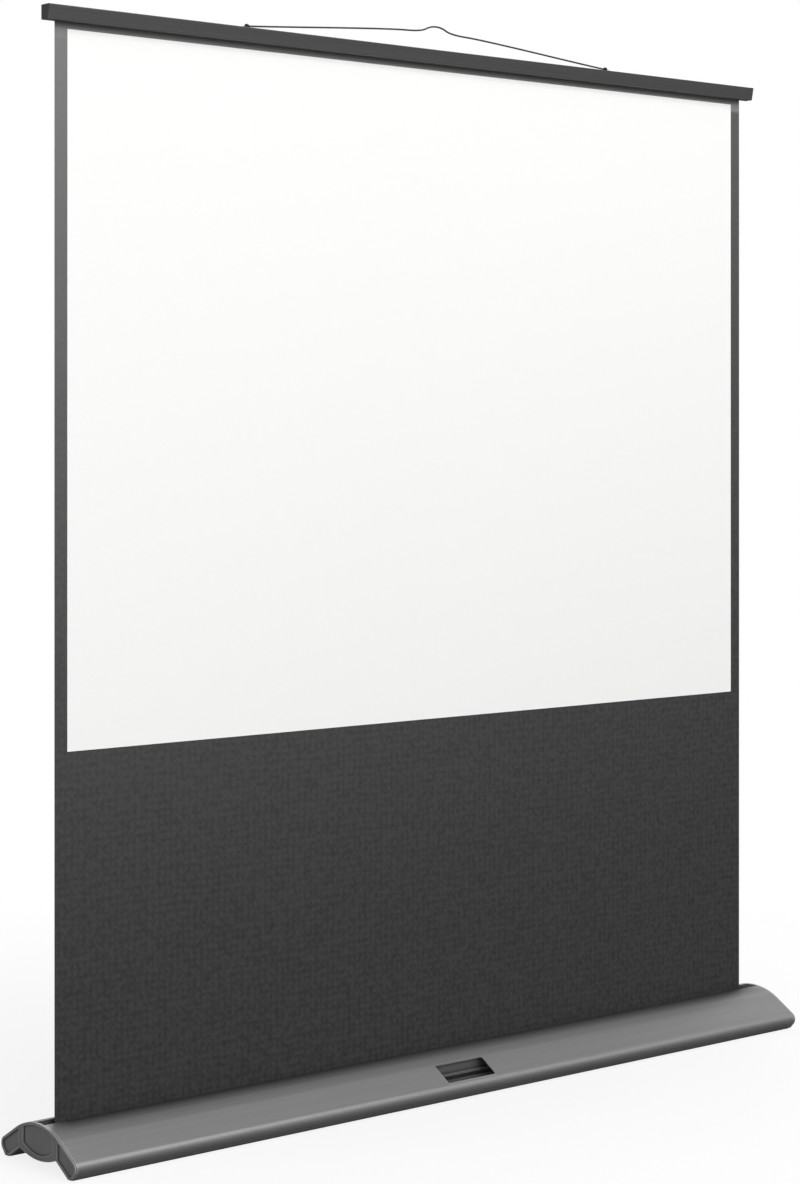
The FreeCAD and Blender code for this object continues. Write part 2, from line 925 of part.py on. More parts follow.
chamber_inset = [
    (f"-slat_front_bottom + slat_skin + seat_gap - ({chamber_floor}) * {lean}", f"{chamber_floor} + seat_gap"),
    ("slat_rear - slat_skin - seat_gap", f"{chamber_floor} + seat_gap"),
    ("slat_rear - slat_skin - seat_gap", "slat_height - slat_skin - seat_gap"),
    ("-slat_front_top + 2 * slat_skin + seat_gap", "slat_height - slat_skin - seat_gap"),
]
for side, plate_start, spigot_start in (
    ("right", "slat_body_length / 2", "slat_body_length / 2 - slat_cap_spigot"),
    ("left", "-slat_length / 2", "-slat_body_length / 2"),
):
    slat_cap = new_body(f"slat_cap_{side}", ("0", "0", "slat_bottom"))
    pad(slat_cap, "YZ_Plane", plate_start, "slat_cap_plate", [slat_outline])
    pad(slat_cap, "YZ_Plane", spigot_start, "slat_cap_spigot", [chamber_inset])
rod_body = new_body("fabric_keder", ("0", "cloth_plane", "slat_bottom + keder_height"), ALONG_X)
pad(rod_body, "XY_Plane", "-cloth_width / 2", "cloth_width", [("0", "0", "keder_radius")])

# Catch on the slat's back: a bent plate that the mast's finger lifts
catch = new_body("mast_catch")
pad(
    catch,
    "YZ_Plane",
    "-catch_width / 2",
    "catch_width",
    [
        [
            ("slat_rear", "slat_top"),
            ("slat_rear", "slat_top - catch_height"),
            ("slat_rear + catch_sheet", "slat_top - catch_height"),
            ("slat_rear + catch_sheet", "slat_top - catch_sheet"),
            ("slat_rear + catch_flange", "slat_top - catch_sheet"),
            ("slat_rear + catch_flange", "slat_top"),
        ]
    ],
)
# Hanger wire with a hump in its middle, and the eyes that it turns in
wire = new_body("hanger_wire", ("0", "-wire_plane", "wire_axis_height"))
wire_path = body_sketch(
    wire,
    "XZ_Plane",
    "0",
    [
        [
            ("-wire_reach - wire_end", 0),
            ("-wire_reach", 0, "wire_bend"),
            ("-wire_shoulder_reach", "wire_shoulder_rise - wire_pivot_rise", "wire_long_bend"),
            ("-wire_hump_reach", "wire_hump_foot_rise - wire_pivot_rise", "wire_hump_bend"),
            ("-wire_hump_top_reach", "wire_hump_rise - wire_pivot_rise", "wire_hump_bend"),
            ("wire_hump_top_reach", "wire_hump_rise - wire_pivot_rise", "wire_hump_bend"),
            ("wire_hump_reach", "wire_hump_foot_rise - wire_pivot_rise", "wire_hump_bend"),
            ("wire_shoulder_reach", "wire_shoulder_rise - wire_pivot_rise", "wire_long_bend"),
            ("wire_reach", 0, "wire_bend"),
            ("wire_reach + wire_end", 0),
        ]
    ],
    closed=False,
)
wire_round = body_sketch(
    wire, "YZ_Plane", "-wire_reach - wire_end", [flats("0", "0", "wire_radius", "wire_flats")]
)
wire_pipe = wire.newObject("PartDesign::AdditivePipe", "wire_pipe")
wire_pipe.Profile = wire_round
wire_pipe.Spine = (wire_path, [])

for side, sign in (("left", -1), ("right", 1)):
    eye = new_body(f"wire_eye_{side}", ("0", "-wire_plane", "slat_top"))
    start = "wire_reach + wire_end - eye_width" if sign > 0 else "-wire_reach - wire_end"
    pad(
        eye,
        "YZ_Plane",
        start,
        "eye_width",
        [
            [
                ("-eye_depth / 2", 0),
                ("eye_depth / 2", 0),
                ("eye_depth / 2", "wire_pivot_rise + eye_depth / 6"),
                ("eye_depth / 6", "wire_pivot_rise + eye_depth / 2"),
                ("-eye_depth / 6", "wire_pivot_rise + eye_depth / 2"),
                ("-eye_depth / 2", "wire_pivot_rise + eye_depth / 6"),
            ]
        ],
    )
    plate_start = "wire_reach + wire_end" if sign > 0 else "-wire_reach - wire_end - eye_foot_length"
    pad(
        eye,
        "YZ_Plane",
        plate_start,
        "eye_foot_length",
        [
            [
                ("-eye_depth / 2", 0),
                ("eye_depth / 2", 0),
                ("eye_depth / 2", "eye_foot_plate"),
                ("-eye_depth / 2", "eye_foot_plate"),
            ]
        ],
    )
    pocket(
        eye,
        "YZ_Plane",
        f"{start} - overrun",
        "eye_width + 2 * overrun",
        [("0", "wire_pivot_rise", "wire_radius + pin_gap")],
    )

# Mast bracket: a cast saddle on the rear of the crest with two ears for the mast's pivot
ear_front = "mast_plane - pivot_gap / 2 - pivot_ear_thickness"
ear_rear = "mast_plane + pivot_gap / 2"
saddle_depth = "pivot_gap + 2 * pivot_ear_thickness"
saddle = box(
    "saddle",
    ("-pivot_base_length / 2", ear_front, "shoulder_height"),
    ("pivot_base_length", saddle_depth, "pivot_base_height - shoulder_height"),
)
ear_section = section(
    "ear_section",
    [
        ("-pivot_ear_width / 2", "pivot_base_height - overrun"),
        ("pivot_ear_width / 2", "pivot_base_height - overrun"),
        ("pivot_ear_width / 2", "pivot_height + pivot_ear_width / 4"),
        ("pivot_ear_width / 4", "pivot_height + pivot_ear_width / 2"),
        ("-pivot_ear_width / 4", "pivot_height + pivot_ear_width / 2"),
        ("-pivot_ear_width / 2", "pivot_height + pivot_ear_width / 4"),
    ],
    ACROSS_Y,
)
ears = [
    extrude("ear_front", ear_section, ear_front, "pivot_ear_thickness", "y"),
    extrude("ear_rear", ear_section, ear_rear, "pivot_ear_thickness", "y"),
]
crest_bar = rod(
    "crest_bar",
    "crest_radius",
    "pivot_base_length + 2 * overrun",
    ("-pivot_base_length / 2 - overrun", "0", "crest_centre"),
    ALONG_X,
)
pivot_hole = rod(
    "pivot_hole",
    "pivot_pin_radius + pin_gap",
    f"{saddle_depth} + 2 * overrun",
    ("0", f"{ear_front} - overrun", "pivot_height"),
    ALONG_Y,
)
keep("mast_bracket", cut("mast_bracket", fuse("mast_bracket", [saddle] + ears), [crest_bar, pivot_hole]))
pivot_pin = new_body("mast_pivot_pin", ("0", ear_front, "pivot_height"), ALONG_Y)
pad(pivot_pin, "XY_Plane", "0", saddle_depth, [("0", "0", "pivot_pin_radius")])
pin_head = flats("0", "0", "pivot_pin_head_radius", "pivot_pin_head_flats")
pad(pivot_pin, "XY_Plane", saddle_depth, "pivot_pin_head_height", [pin_head])

# Storage cradle: a sprung trough on the crest that the folded mast drops into
cradle_inner = "lower_tube_radius + seat_gap"
cradle_half = f"{cradle_inner} + cradle_wall"
cradle_block = box(
    "cradle_block",
    ("cradle_reach - cradle_length / 2", f"mast_plane - ({cradle_half})", "shoulder_height"),
    ("cradle_length", f"2 * ({cradle_half})", "pivot_height + cradle_lip - shoulder_height"),
)
cradle_bore = rod(
    "cradle_bore",
    cradle_inner,
    "cradle_length + 2 * overrun",
    ("cradle_reach - cradle_length / 2 - overrun", "mast_plane", "pivot_height"),
    ALONG_X,
)
cradle_mouth = box(
    "cradle_mouth",
    (
        "cradle_reach - cradle_length / 2 - overrun",
        f"mast_plane - ({cradle_inner})",
        "pivot_height",
    ),
    ("cradle_length + 2 * overrun", f"2 * ({cradle_inner})", "cradle_lip + overrun"),
)
cradle_seat = rod(
    "cradle_seat",
    "crest_radius",
    "cradle_length + 2 * overrun",
    ("cradle_reach - cradle_length / 2 - overrun", "0", "crest_centre"),
    ALONG_X,
)
keep("mast_cradle", cut("mast_cradle", cradle_block, [cradle_bore, cradle_mouth, cradle_seat]))
# Mast: a pivoting foot, three telescoping tubes, two clamp collars and a head
foot_section = section(
    "foot_section",
    [
        ("-foot_block_width / 4", "pivot_height - foot_block_width / 2"),
        ("foot_block_width / 4", "pivot_height - foot_block_width / 2"),
        ("foot_block_width / 2", "pivot_height - foot_block_width / 4"),
        ("foot_block_width / 2", "lower_tube_bottom"),
        ("-foot_block_width / 2", "lower_tube_bottom"),
        ("-foot_block_width / 2", "pivot_height - foot_block_width / 4"),
    ],
    ACROSS_Y,
)
foot_block = extrude(
    "foot_block",
    foot_section,
    "mast_plane - pivot_gap / 2 + seat_gap",
    "pivot_gap - 2 * seat_gap",
    "y",
)
foot_spigot = rod(
    "foot_spigot_rod",
    "lower_tube_bore - pin_gap",
    "foot_spigot + overrun",
    ("0", "mast_plane", "lower_tube_bottom - overrun"),
)
foot_hole = rod(
    "foot_hole",
    "pivot_pin_radius + pin_gap",
    "2 * pivot_gap",
    ("0", "mast_plane - pivot_gap", "pivot_height"),
    ALONG_Y,
)
keep("mast_foot", cut("mast_foot", fuse("mast_foot", [foot_block, foot_spigot]), [foot_hole]))


def on_mast(height):
    return ("0", "mast_plane", height)


def mast_tube(label, stage, length, bottom):
    return sleeve(label, f"{stage}_tube_radius", f"{stage}_tube_bore", length, on_mast(bottom))


mast_tube("mast_tube_lower", "lower", "lower_tube_length", "lower_tube_bottom")
mast_tube("mast_tube_mid", "mid", "mid_tube_length", "mid_tube_bottom")
mast_tube("mast_tube_top", "top", "head_bottom - top_tube_bottom", "top_tube_bottom")


# Each tube stands on a moulded bush that slides in the tube around it.
for stage, outer_bore in (("mid", "lower_tube_bore"), ("top", "mid_tube_bore")):
    bush = new_body(f"mast_bush_{stage}", on_mast(f"{stage}_tube_bottom"))
    pad(bush, "XY_Plane", "-bush_depth", "bush_depth", [("0", "0", f"{outer_bore} - slide_gap")])
    spigot_flats = flats("0", "0", f"{stage}_tube_bore - pin_gap", "plug_flats")
    pad(bush, "XY_Plane", "0", "bush_spigot", [spigot_flats])


def clamp(stage, inner, outer, height):
    """A collar on a tube's top end, with the lever that clamps the next tube."""
    barrel = f"{outer} + collar_wall"
    ear_plane = f"{barrel} + lever_hub + seat_gap"
    collar = new_body(f"clamp_collar_{stage}", on_mast(height))
    shell_flats = flats("0", "0", f"({barrel}) / cos(180 / collar_flats)", "collar_flats")
    pad(collar, "XY_Plane", "-collar_grip", "collar_grip + collar_lip", [shell_flats])
    grip_bore = [("0", "0", f"{outer} + pin_gap")]
    guide_bore = [("0", "0", f"{inner} + slide_gap")]
    pocket(collar, "XY_Plane", "-collar_grip - overrun", "collar_grip + overrun", grip_bore)
    pocket(collar, "XY_Plane", "-overrun", "collar_lip + 2 * overrun", guide_bore)
    for start in ("-lever_width / 2 - collar_ear_thickness - pin_gap", "lever_width / 2 + pin_gap"):
        pad(
            collar,
            "YZ_Plane",
            start,
            "collar_ear_thickness",
            [
                [
                    (f"{outer} + collar_wall / 2", "-lever_pin_drop - collar_ear_height / 2"),
                    (ear_plane, "-lever_pin_drop - collar_ear_height / 2"),
                    (f"{ear_plane} + collar_ear_height / 2", "-lever_pin_drop - collar_ear_height / 4"),
                    (f"{ear_plane} + collar_ear_height / 2", "-lever_pin_drop + collar_ear_height / 4"),
                    (ear_plane, "-lever_pin_drop + collar_ear_height / 2"),
                    (f"{outer} + collar_wall / 2", "-lever_pin_drop + collar_ear_height / 2"),
                ]
            ],
        )
    pocket(
        collar,
        "YZ_Plane",
        "-lever_width",
        "2 * lever_width",
        [(ear_plane, "-lever_pin_drop", "lever_pin_radius + pin_gap")],
    )
    pin_place = ("0", f"mast_plane + {ear_plane}", f"{height} - lever_pin_drop")
    lever = new_body(f"clamp_lever_{stage}", pin_place)
    pad(
        lever,
        "YZ_Plane",
        "-lever_width / 2",
        "lever_width",
        [
            [
                ("-lever_hub / 3", "-lever_hub"),
                ("-lever_hub", "-lever_hub / 3"),
                ("-lever_hub", "lever_hub / 3"),
                ("-lever_hub / 3", "lever_hub"),
                ("lever_hub / 3", "lever_hub"),
                ("lever_hub", "lever_hub / 3"),
                ("lever_hub", "-lever_length * lever_straight_share"),
                ("lever_hub + lever_flare", "-lever_length"),
                ("lever_hub + lever_flare / 2", "-lever_length - lever_hub / 2"),
                ("lever_hub / 2", "-lever_length * lever_straight_share"),
            ]
        ],
    )
    pocket(
        lever,
        "YZ_Plane",
        "-lever_width",
        "2 * lever_width",
        [("0", "0", "lever_pin_radius + pin_gap")],
    )
    pin = new_body(f"clamp_pin_{stage}", pin_place, ALONG_X)
    half = "lever_width / 2 + collar_ear_thickness + seat_gap"
    pad(pin, "XY_Plane", f"-({half})", f"2 * ({half})", [("0", "0", "lever_pin_radius")])


clamp("lower", "mid_tube_radius", "lower_tube_radius", "lower_tube_top")
clamp("upper", "top_tube_radius", "mid_tube_radius", "mid_tube_top")

# Mast head: a capped plug with a finger that reaches forward under the slat's catch
head = new_body("mast_head", on_mast("head_bottom"))
pad(head, "XY_Plane", "0", "head_height", [("0", "0", "top_tube_radius + head_wall")])
head_spigot = flats("0", "0", "top_tube_bore - pin_gap", "plug_flats")
pad(head, "XY_Plane", "-bush_spigot", "bush_spigot", [head_spigot])
finger_tip = "slat_rear + catch_sheet + 2 * seat_gap - mast_plane"
pad(
    head,
    "XY_Plane",
    "head_height - head_finger_height",
    "head_finger_height",
    [
        [
            ("-head_finger_width / 2", finger_tip),
            ("head_finger_width / 2", finger_tip),
            ("head_finger_width / 2", 0),
            ("-head_finger_width / 2", 0),
        ]
    ],
)

# Build everything, test every object, then write each piece
document.recompute()
faults = [thing.Name for thing in document.Objects if {"Invalid", "Error"} & set(thing.State)]
if faults:
    raise RuntimeError(f"failed features: {faults}")
for label, thing in pieces.items():
    if thing.Shape.isNull() or not thing.Shape.isValid():
        raise RuntimeError(f"{label} has no valid shape")
    thing.Shape.exportStep(f"parts/{label}.step")
print(f"{len(pieces)} pieces written")
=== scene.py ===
# %% [markdown]
# A floor-standing projection screen, dressed for a picture. The real one is a winged aluminium
# base with a sprung roller inside, a white picture on a black cloth, a slat that carries the
# cloth's top edge, and a telescopic mast behind that holds the slat up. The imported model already
# has every piece at its real size, so this script only gives them their finish: softer edges, a
# hanging cloth, a bent wire, a wound spring, small screws, and materials.

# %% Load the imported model
import json
from math import cos, pi, radians, sin

import bmesh
import bpy
from mathutils import Matrix, Vector


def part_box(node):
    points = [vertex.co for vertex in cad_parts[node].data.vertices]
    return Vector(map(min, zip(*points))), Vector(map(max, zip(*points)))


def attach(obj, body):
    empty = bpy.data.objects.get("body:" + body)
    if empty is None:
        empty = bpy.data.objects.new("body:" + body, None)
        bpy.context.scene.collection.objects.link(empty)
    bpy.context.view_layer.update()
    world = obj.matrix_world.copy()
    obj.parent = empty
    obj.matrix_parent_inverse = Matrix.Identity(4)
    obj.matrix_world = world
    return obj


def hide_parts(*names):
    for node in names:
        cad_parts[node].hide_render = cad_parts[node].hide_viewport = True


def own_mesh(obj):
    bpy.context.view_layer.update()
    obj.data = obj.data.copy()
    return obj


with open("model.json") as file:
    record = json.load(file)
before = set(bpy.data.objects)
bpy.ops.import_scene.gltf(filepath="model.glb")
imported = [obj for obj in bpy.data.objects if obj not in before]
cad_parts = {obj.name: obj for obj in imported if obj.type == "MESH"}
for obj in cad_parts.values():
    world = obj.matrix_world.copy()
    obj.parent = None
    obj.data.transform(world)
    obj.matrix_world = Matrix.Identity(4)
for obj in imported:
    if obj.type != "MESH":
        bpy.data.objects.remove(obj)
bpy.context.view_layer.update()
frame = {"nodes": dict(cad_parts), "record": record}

MM = 0.001

# %% [markdown]
# Colours are picked as hex values, the way a paint chart or an image editor shows them.
# The renderer works with linear light, so one function turns each hex value into a linear colour.


# %% Turn a hex colour into linear light
def linear(hex_colour):
    """An sRGB hex colour such as "#808080" as a linear red, green, blue and alpha."""
    parts = [int(hex_colour[i : i + 2], 16) / 255 for i in (1, 3, 5)]
    return [c / 12.92 if c <= 0.04045 else ((c + 0.055) / 1.055) ** 2.4 for c in parts] + [1.0]


print("mid grey", [round(c, 3) for c in linear("#808080")])

# %% [markdown]
# A finish is a small network of nodes. One function adds a node, sets it up and links it, and
# every finish below is written with it. Others do a sum, move a value into another range, and
# start a material with the shader that all finishes share. The coordinates are in metres on the
# object itself, so that patterns have a real size and stay on the piece when it moves.


# %% Add nodes and start materials
def add(tree, kind, inputs=None, **settings):
    """Add a node. Inputs are numbers, colours, or sockets of other nodes to link from."""
    node = tree.nodes.new(kind)
    for name, setting in settings.items():
        setattr(node, name, setting)
    for name, given in (inputs or {}).items():
        if isinstance(given, bpy.types.NodeSocket):
            tree.links.new(given, node.inputs[name])
        else:
            node.inputs[name].default_value = given
    return node


def arithmetic(tree, operation, *terms):
    """The result of a sum, product or power of numbers and sockets."""
    return add(tree, "ShaderNodeMath", dict(enumerate(terms)), operation=operation).outputs[0]


def ranged(tree, value, start, end, to_start, to_end):
    """A value moved from one range into another, and held at its ends."""
    ends = {"From Min": start, "From Max": end, "To Min": to_start, "To Max": to_end}
    return add(tree, "ShaderNodeMapRange", {"Value": value, **ends}).outputs[0]


def new_finish(name, **shader_inputs):
    """A material with a Principled shader, and its tree, shader and object coordinates."""
    material = bpy.data.materials.new(name)
    material.use_nodes = True
    tree = material.node_tree
    tree.nodes.clear()
    spaced = {key.replace("_", " "): given for key, given in shader_inputs.items()}
    shader = add(tree, "ShaderNodeBsdfPrincipled", spaced)
    add(tree, "ShaderNodeOutputMaterial", {"Surface": shader.outputs[0]})
    place = add(tree, "ShaderNodeTexCoord").outputs["Object"]
    return material, tree, shader, place


def per_metre(size_mm):
    """How many times a pattern of this size repeats in a metre."""
    return 1 / (size_mm * MM)


print("a 2 mm pattern repeats", round(per_metre(2)), "times in a metre")

# %% [markdown]
# Most patterns here are noise, a soft random pattern whose values lie mostly between 0.3 and 0.7.
# Spreading that middle part over a whole range gives it its full contrast. The patterns then vary
# a finish's colour, its roughness or its height.

# %% Make noise and use it
NOISE_LOW, NOISE_HIGH = 0.3, 0.7


def noise(tree, place, size_mm, detail):
    """A noise pattern of a real size."""
    pattern = {"Vector": place, "Scale": per_metre(size_mm), "Detail": detail}
    return add(tree, "ShaderNodeTexNoise", pattern).outputs["Fac"]


def spread(tree, pattern, low, high):
    """The middle of a noise pattern's values, spread over a range."""
    return ranged(tree, pattern, NOISE_LOW, NOISE_HIGH, low, high)


def colour_of(shader):
    """The socket that gives the shader its colour so far."""
    return shader.inputs["Base Color"].links[0].from_socket


def recolour(tree, shader, factor, at_none, at_full):
    """Mix two hex colours or colour sockets by a factor and give the result to the shader."""
    mixed = add(tree, "ShaderNodeMix", {"Factor": factor}, data_type="RGBA")
    for name, given in (("A", at_none), ("B", at_full)):
        if isinstance(given, bpy.types.NodeSocket):
            tree.links.new(given, mixed.inputs[name])
        else:
            mixed.inputs[name].default_value = linear(given)
    tree.links.new(mixed.outputs["Result"], shader.inputs["Base Color"])


def tint(tree, shader, pattern, dark, light):
    """Colour the shader from dark to light by a pattern."""
    recolour(tree, shader, spread(tree, pattern, 0.0, 1.0), dark, light)


def roughen(tree, shader, pattern, low, high):
    """Let a pattern vary the shader's roughness over a range."""
    tree.links.new(spread(tree, pattern, low, high), shader.inputs["Roughness"])


def raise_grain(tree, shader, height, depth_mm):
    """Turn a pattern into small bumps of a real depth."""
    bumps = {"Height": height, "Distance": depth_mm * MM, "Strength": 1.0}
    tree.links.new(add(tree, "ShaderNodeBump", bumps).outputs[0], shader.inputs["Normal"])


print("noise is spread from", NOISE_LOW, "to", NOISE_HIGH)

# %% [markdown]
# Two things are painted into the colour of most finishes. Shade is painted into grooves and
# corners, and outer edges are painted bright, both as worn edges and as the highlight that an
# edge catches. Ambient occlusion measures how open a point is: in a groove few rays get out, and
# there the colour is darkened as painted shade. Sent inwards, the rays soon come out again beside
# an edge, and there the colour is brightened as a worn edge and a painted edge highlight.

# %% Paint shade into the grooves and light on the edges
RAYS = 6
PAINTED_SHADE = "#050505"
FULL_WORN_AND_LIT_EDGE = 0.5


def paint_shade(tree, shader, reach_mm, depth, own=False):
    """Paint shade into grooves and corners, of the piece's own shape only or beside other pieces too.
    """
    rays = {"Distance": reach_mm * MM}
    nook = add(tree, "ShaderNodeAmbientOcclusion", rays, samples=RAYS, only_local=own)
    openness = arithmetic(tree, "POWER", nook.outputs["AO"], depth)
    recolour(tree, shader, openness, PAINTED_SHADE, colour_of(shader))


def brighten_worn_and_lit_edges(tree, shader, reach_mm, amount, bright):
    """Brighten the colour along outer edges, both as worn edges and as a painted edge highlight."""
    rays = {"Distance": reach_mm * MM}
    edge = add(tree, "ShaderNodeAmbientOcclusion", rays, samples=RAYS, inside=True)
    worn_and_lit_edges = ranged(tree, edge.outputs["AO"], 1.0, FULL_WORN_AND_LIT_EDGE, 0.0, amount)
    recolour(tree, shader, worn_and_lit_edges, colour_of(shader), bright)


print("rays at each point", RAYS)

# %% [markdown]
# The base and the slat are aluminium, pressed through a die and then anodised in dark grey. The
# mast's tubes are drawn through a ring and left silver. The die and the ring leave fine lines
# along the length, which catch the light as long faint streaks. They are less than a millimetre
# apart, too fine for a picture of the whole screen, so they are drawn a few millimetres wide. The
# dye in the base's and the slat's surface dulls the metal, so these are only partly metallic.

# %% Make the anodised finishes
STREAK_LENGTH_MM = 900
ETCH_MM = 2.2
SMOOTHER, ROUGHER = 0.03, 0.04
# Edges painted bright take this colour, as worn and as lit aluminium
WORN_AND_LIT_EDGE_ALUMINIUM = "#d0d0d1"


def stretched(tree, place, along, across_mm, along_mm):
    """Coordinates that stretch a pattern along one axis of the object."""
    scale = [per_metre(along_mm) if axis == along else per_metre(across_mm) for axis in "xyz"]
    return add(tree, "ShaderNodeMapping", {"Vector": place, "Scale": scale}).outputs[0]


def anodised(name, dark, light, along, streak_mm, roughness, metallic, worn_and_lit_edges):
    """Anodised aluminium with die or drawing lines along one axis."""
    material, tree, shader, place = new_finish(name, Metallic=metallic)
    lines = stretched(tree, place, along, streak_mm, STREAK_LENGTH_MM)
    streaks = add(tree, "ShaderNodeTexNoise", {"Vector": lines, "Scale": 1.0, "Detail": 3.0})
    tint(tree, shader, streaks.outputs["Fac"], dark, light)
    etch = noise(tree, place, ETCH_MM, detail=2.0)
    roughen(tree, shader, etch, roughness - SMOOTHER, roughness + ROUGHER)
    raise_grain(tree, shader, streaks.outputs["Fac"], depth_mm=0.02)
    # Outer edges painted bright, both as worn edges and as edge highlight
    brighten_worn_and_lit_edges(tree, shader, reach_mm=1.2, amount=worn_and_lit_edges, bright=WORN_AND_LIT_EDGE_ALUMINIUM)
    # Painted shade in the piece's own grooves, slot and grip
    paint_shade(tree, shader, reach_mm=24, depth=1.5, own=True)
    return material


FINISHES = {
    # Satin mid grey with a broad soft highlight and long faint streaks
    "base_aluminium": anodised(
        "anodised_base_extrusion",
        dark="#868687",
        light="#8e8e8e",
        along="x",
        streak_mm=3.5,
        roughness=0.54,
        metallic=0.8,
        worn_and_lit_edges=0.5,
    ),
    # Darker, with a tighter highlight and hardly any worn or painted bright edges
    "slat_aluminium": anodised(
        "anodised_slat_extrusion",
        dark="#565658",
        light="#606061",
        along="x",
        streak_mm=2.0,
        roughness=0.45,
        metallic=0.6,
        worn_and_lit_edges=0.1,
    ),
    # Clear silver with a bright line of light down each tube
    "mast_aluminium": anodised(
        "anodised_drawn_tube",
        dark="#a9abad",
        light="#bcbec0",
        along="z",
        streak_mm=1.4,
        roughness=0.30,
        metallic=1.0,
        worn_and_lit_edges=0.5,
    ),
}
print("anodised finishes", len(FINISHES))

# %% [markdown]
# Caps, collars and levers are moulded ABS, a tough dull plastic. Its mould is spark-eroded, which
# gives an even pebbled grain of about a third of a millimetre, drawn here nearly a millimetre
# wide. The base's end caps are moulded in grey and the rest in black. Bushes and plugs are nylon,
# left in its own milky colour. The feet are rubber. All come from one function, with a slow flow
# of colour under the grain.

# %% Make the moulded plastics and the rubber
FLOW_MM = 70
PLASTIC_IOR = 1.54


def moulded(name, dark, light, worn_and_lit_edge, grain_mm, depth_mm, roughness):
    """A moulded plastic or rubber with an even grain."""
    material, tree, shader, place = new_finish(name, Roughness=roughness, IOR=PLASTIC_IOR)
    tint(tree, shader, noise(tree, place, FLOW_MM, detail=1.0), dark, light)
    raise_grain(tree, shader, noise(tree, place, grain_mm, detail=2.0), depth_mm)
    # Outer edges painted paler, both as worn edges and as edge highlight
    brighten_worn_and_lit_edges(tree, shader, reach_mm=1.8, amount=0.5, bright=worn_and_lit_edge)
    # Painted shade in grooves and where the piece meets others
    paint_shade(tree, shader, reach_mm=5, depth=1.6)
    return material


ABS_GRAIN = {"grain_mm": 0.9, "depth_mm": 0.04, "roughness": 0.45}
# Dull black, with its edges painted a little paler as worn edges and a soft sheen
FINISHES["cap_plastic"] = moulded(
    "moulded_black_abs", dark="#1f1f20", light="#28282a", worn_and_lit_edge="#3a3a3b", **ABS_GRAIN
)
# The same plastic in the grey of the base, with edges painted pale as worn and lit edges
GREY_CAPS = moulded(
    "moulded_grey_abs", dark="#686869", light="#727273", worn_and_lit_edge="#cccccd", **ABS_GRAIN
)
FINISHES.update(end_cap_left=GREY_CAPS, end_cap_right=GREY_CAPS)
# Milky and slightly waxy
FINISHES["bearing_plastic"] = moulded(
    "moulded_nylon",
    dark="#d9d5c8",
    light="#e6e3d8",
    worn_and_lit_edge="#efece2",
    grain_mm=0.8,
    depth_mm=0.02,
    roughness=0.42,
)
# Flat black that hardly shines at all
FINISHES["foot_rubber"] = moulded(
    "ribbed_rubber",
    dark="#1b1b1b",
    light="#262626",
    worn_and_lit_edge="#3a3a3b",
    grain_mm=0.7,
    depth_mm=0.08,
    roughness=0.8,
)
print("finishes so far", len(FINISHES))

# %% [markdown]
# The small steel pieces are zinc plated: bright, slightly blue, with a soft mottle from the bath.
# The eyes that hold the hanger wire, and their rivets, are zinc plated in black. The roller is
# plain rolled tube, duller and warmer, and its spring is dark with oil. The hanger wire has a
# black plastic coat, and the castings at the mast's foot have powder coat, which levels into a
# faint orange peel.

# %% Make the steels and the coats
COAT_IOR = 1.5
SHINIER, DULLER = 0.05, 0.06


def plated(name, dark, light, mottle_mm, roughness):
    """A bare or plated steel with the mottle of its bath or rolls."""
    material, tree, shader, place = new_finish(name, Metallic=1.0)
    mottle = noise(tree, place, mottle_mm, detail=4.0)
    tint(tree, shader, mottle, dark, light)
    roughen(tree, shader, mottle, roughness - SHINIER, roughness + DULLER)
    return material


def coated(name, dark, light, peel_mm, peel_depth_mm, roughness):
    """A coat of paint or plastic on metal, with the ripple it sets in."""
    material, tree, shader, place = new_finish(name, Roughness=roughness, IOR=COAT_IOR)
    peel = noise(tree, place, peel_mm, detail=1.0)
    tint(tree, shader, peel, dark, light)
    raise_grain(tree, shader, peel, peel_depth_mm)
    return material


# Bright bluish metal, softly blotched
FINISHES["zinc_steel"] = plated(
    "zinc_plated_steel", dark="#a9adb2", light="#c2c6ca", mottle_mm=5, roughness=0.28
)
# Dark metal with a dull shine
BLACK_ZINC = plated(
    "black_zinc_plated_steel", dark="#2b2b2d", light="#363638", mottle_mm=4, roughness=0.4
)
FINISHES.update(wire_eye_left=BLACK_ZINC, wire_eye_right=BLACK_ZINC)
# Warm grey metal with wide pale and dark patches
FINISHES["roller_steel"] = plated(
    "rolled_steel_tube", dark="#8c8a86", light="#9d9a95", mottle_mm=9, roughness=0.38
)
# Dark metal with a wet shine
FINISHES["spring_steel"] = plated(
    "oiled_spring_steel", dark="#4a4a4c", light="#5b5a5a", mottle_mm=3, roughness=0.32
)
# Smooth dull black line
FINISHES["wire_steel"] = coated(
    "black_coated_wire",
    dark="#242424",
    light="#2e2e2e",
    peel_mm=2.0,
    peel_depth_mm=0.02,
    roughness=0.42,
)
# Charcoal with a rippled half shine
FINISHES["cast_metal"] = coated(
    "powder_coated_casting",
    dark="#2a2a2b",
    light="#353536",
    peel_mm=1.6,
    peel_depth_mm=0.05,
    roughness=0.5,
)
print("finishes so far", len(FINISHES))

# %% [markdown]
# The cloth is glass-fibre yarn in a plain weave with a dull black coat. Its threads are half a
# millimetre apart, so the weave is drawn two millimetres wide to show at all. Each direction of
# thread is a row of waves, and the weave stands up where two waves cross. Seen whole the cloth is
# dark grey with an uneven speckle. A painted sheen makes it paler towards its top and its left
# edge, and a band of painted light along the top, under the slat, stands against the slat's shadow.

# %% Make the cloth's finish
cloth_low, cloth_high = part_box("screen_fabric")
cloth_width = cloth_high[0] - cloth_low[0]
cloth_drop = cloth_high[2] - cloth_low[2]
HEM = 30 * MM
HEM_FADE = 6 * MM
HEM_LIGHT = 0.7
LEAST_SHEEN = 0.03
RIGHT_SHEEN, LEFT_SHEEN = 0.35, 0.85
SPECKLE_MM = 9
WEAVE_IN_COLOUR = 0.2
WAVES_PER_SCALE = 20


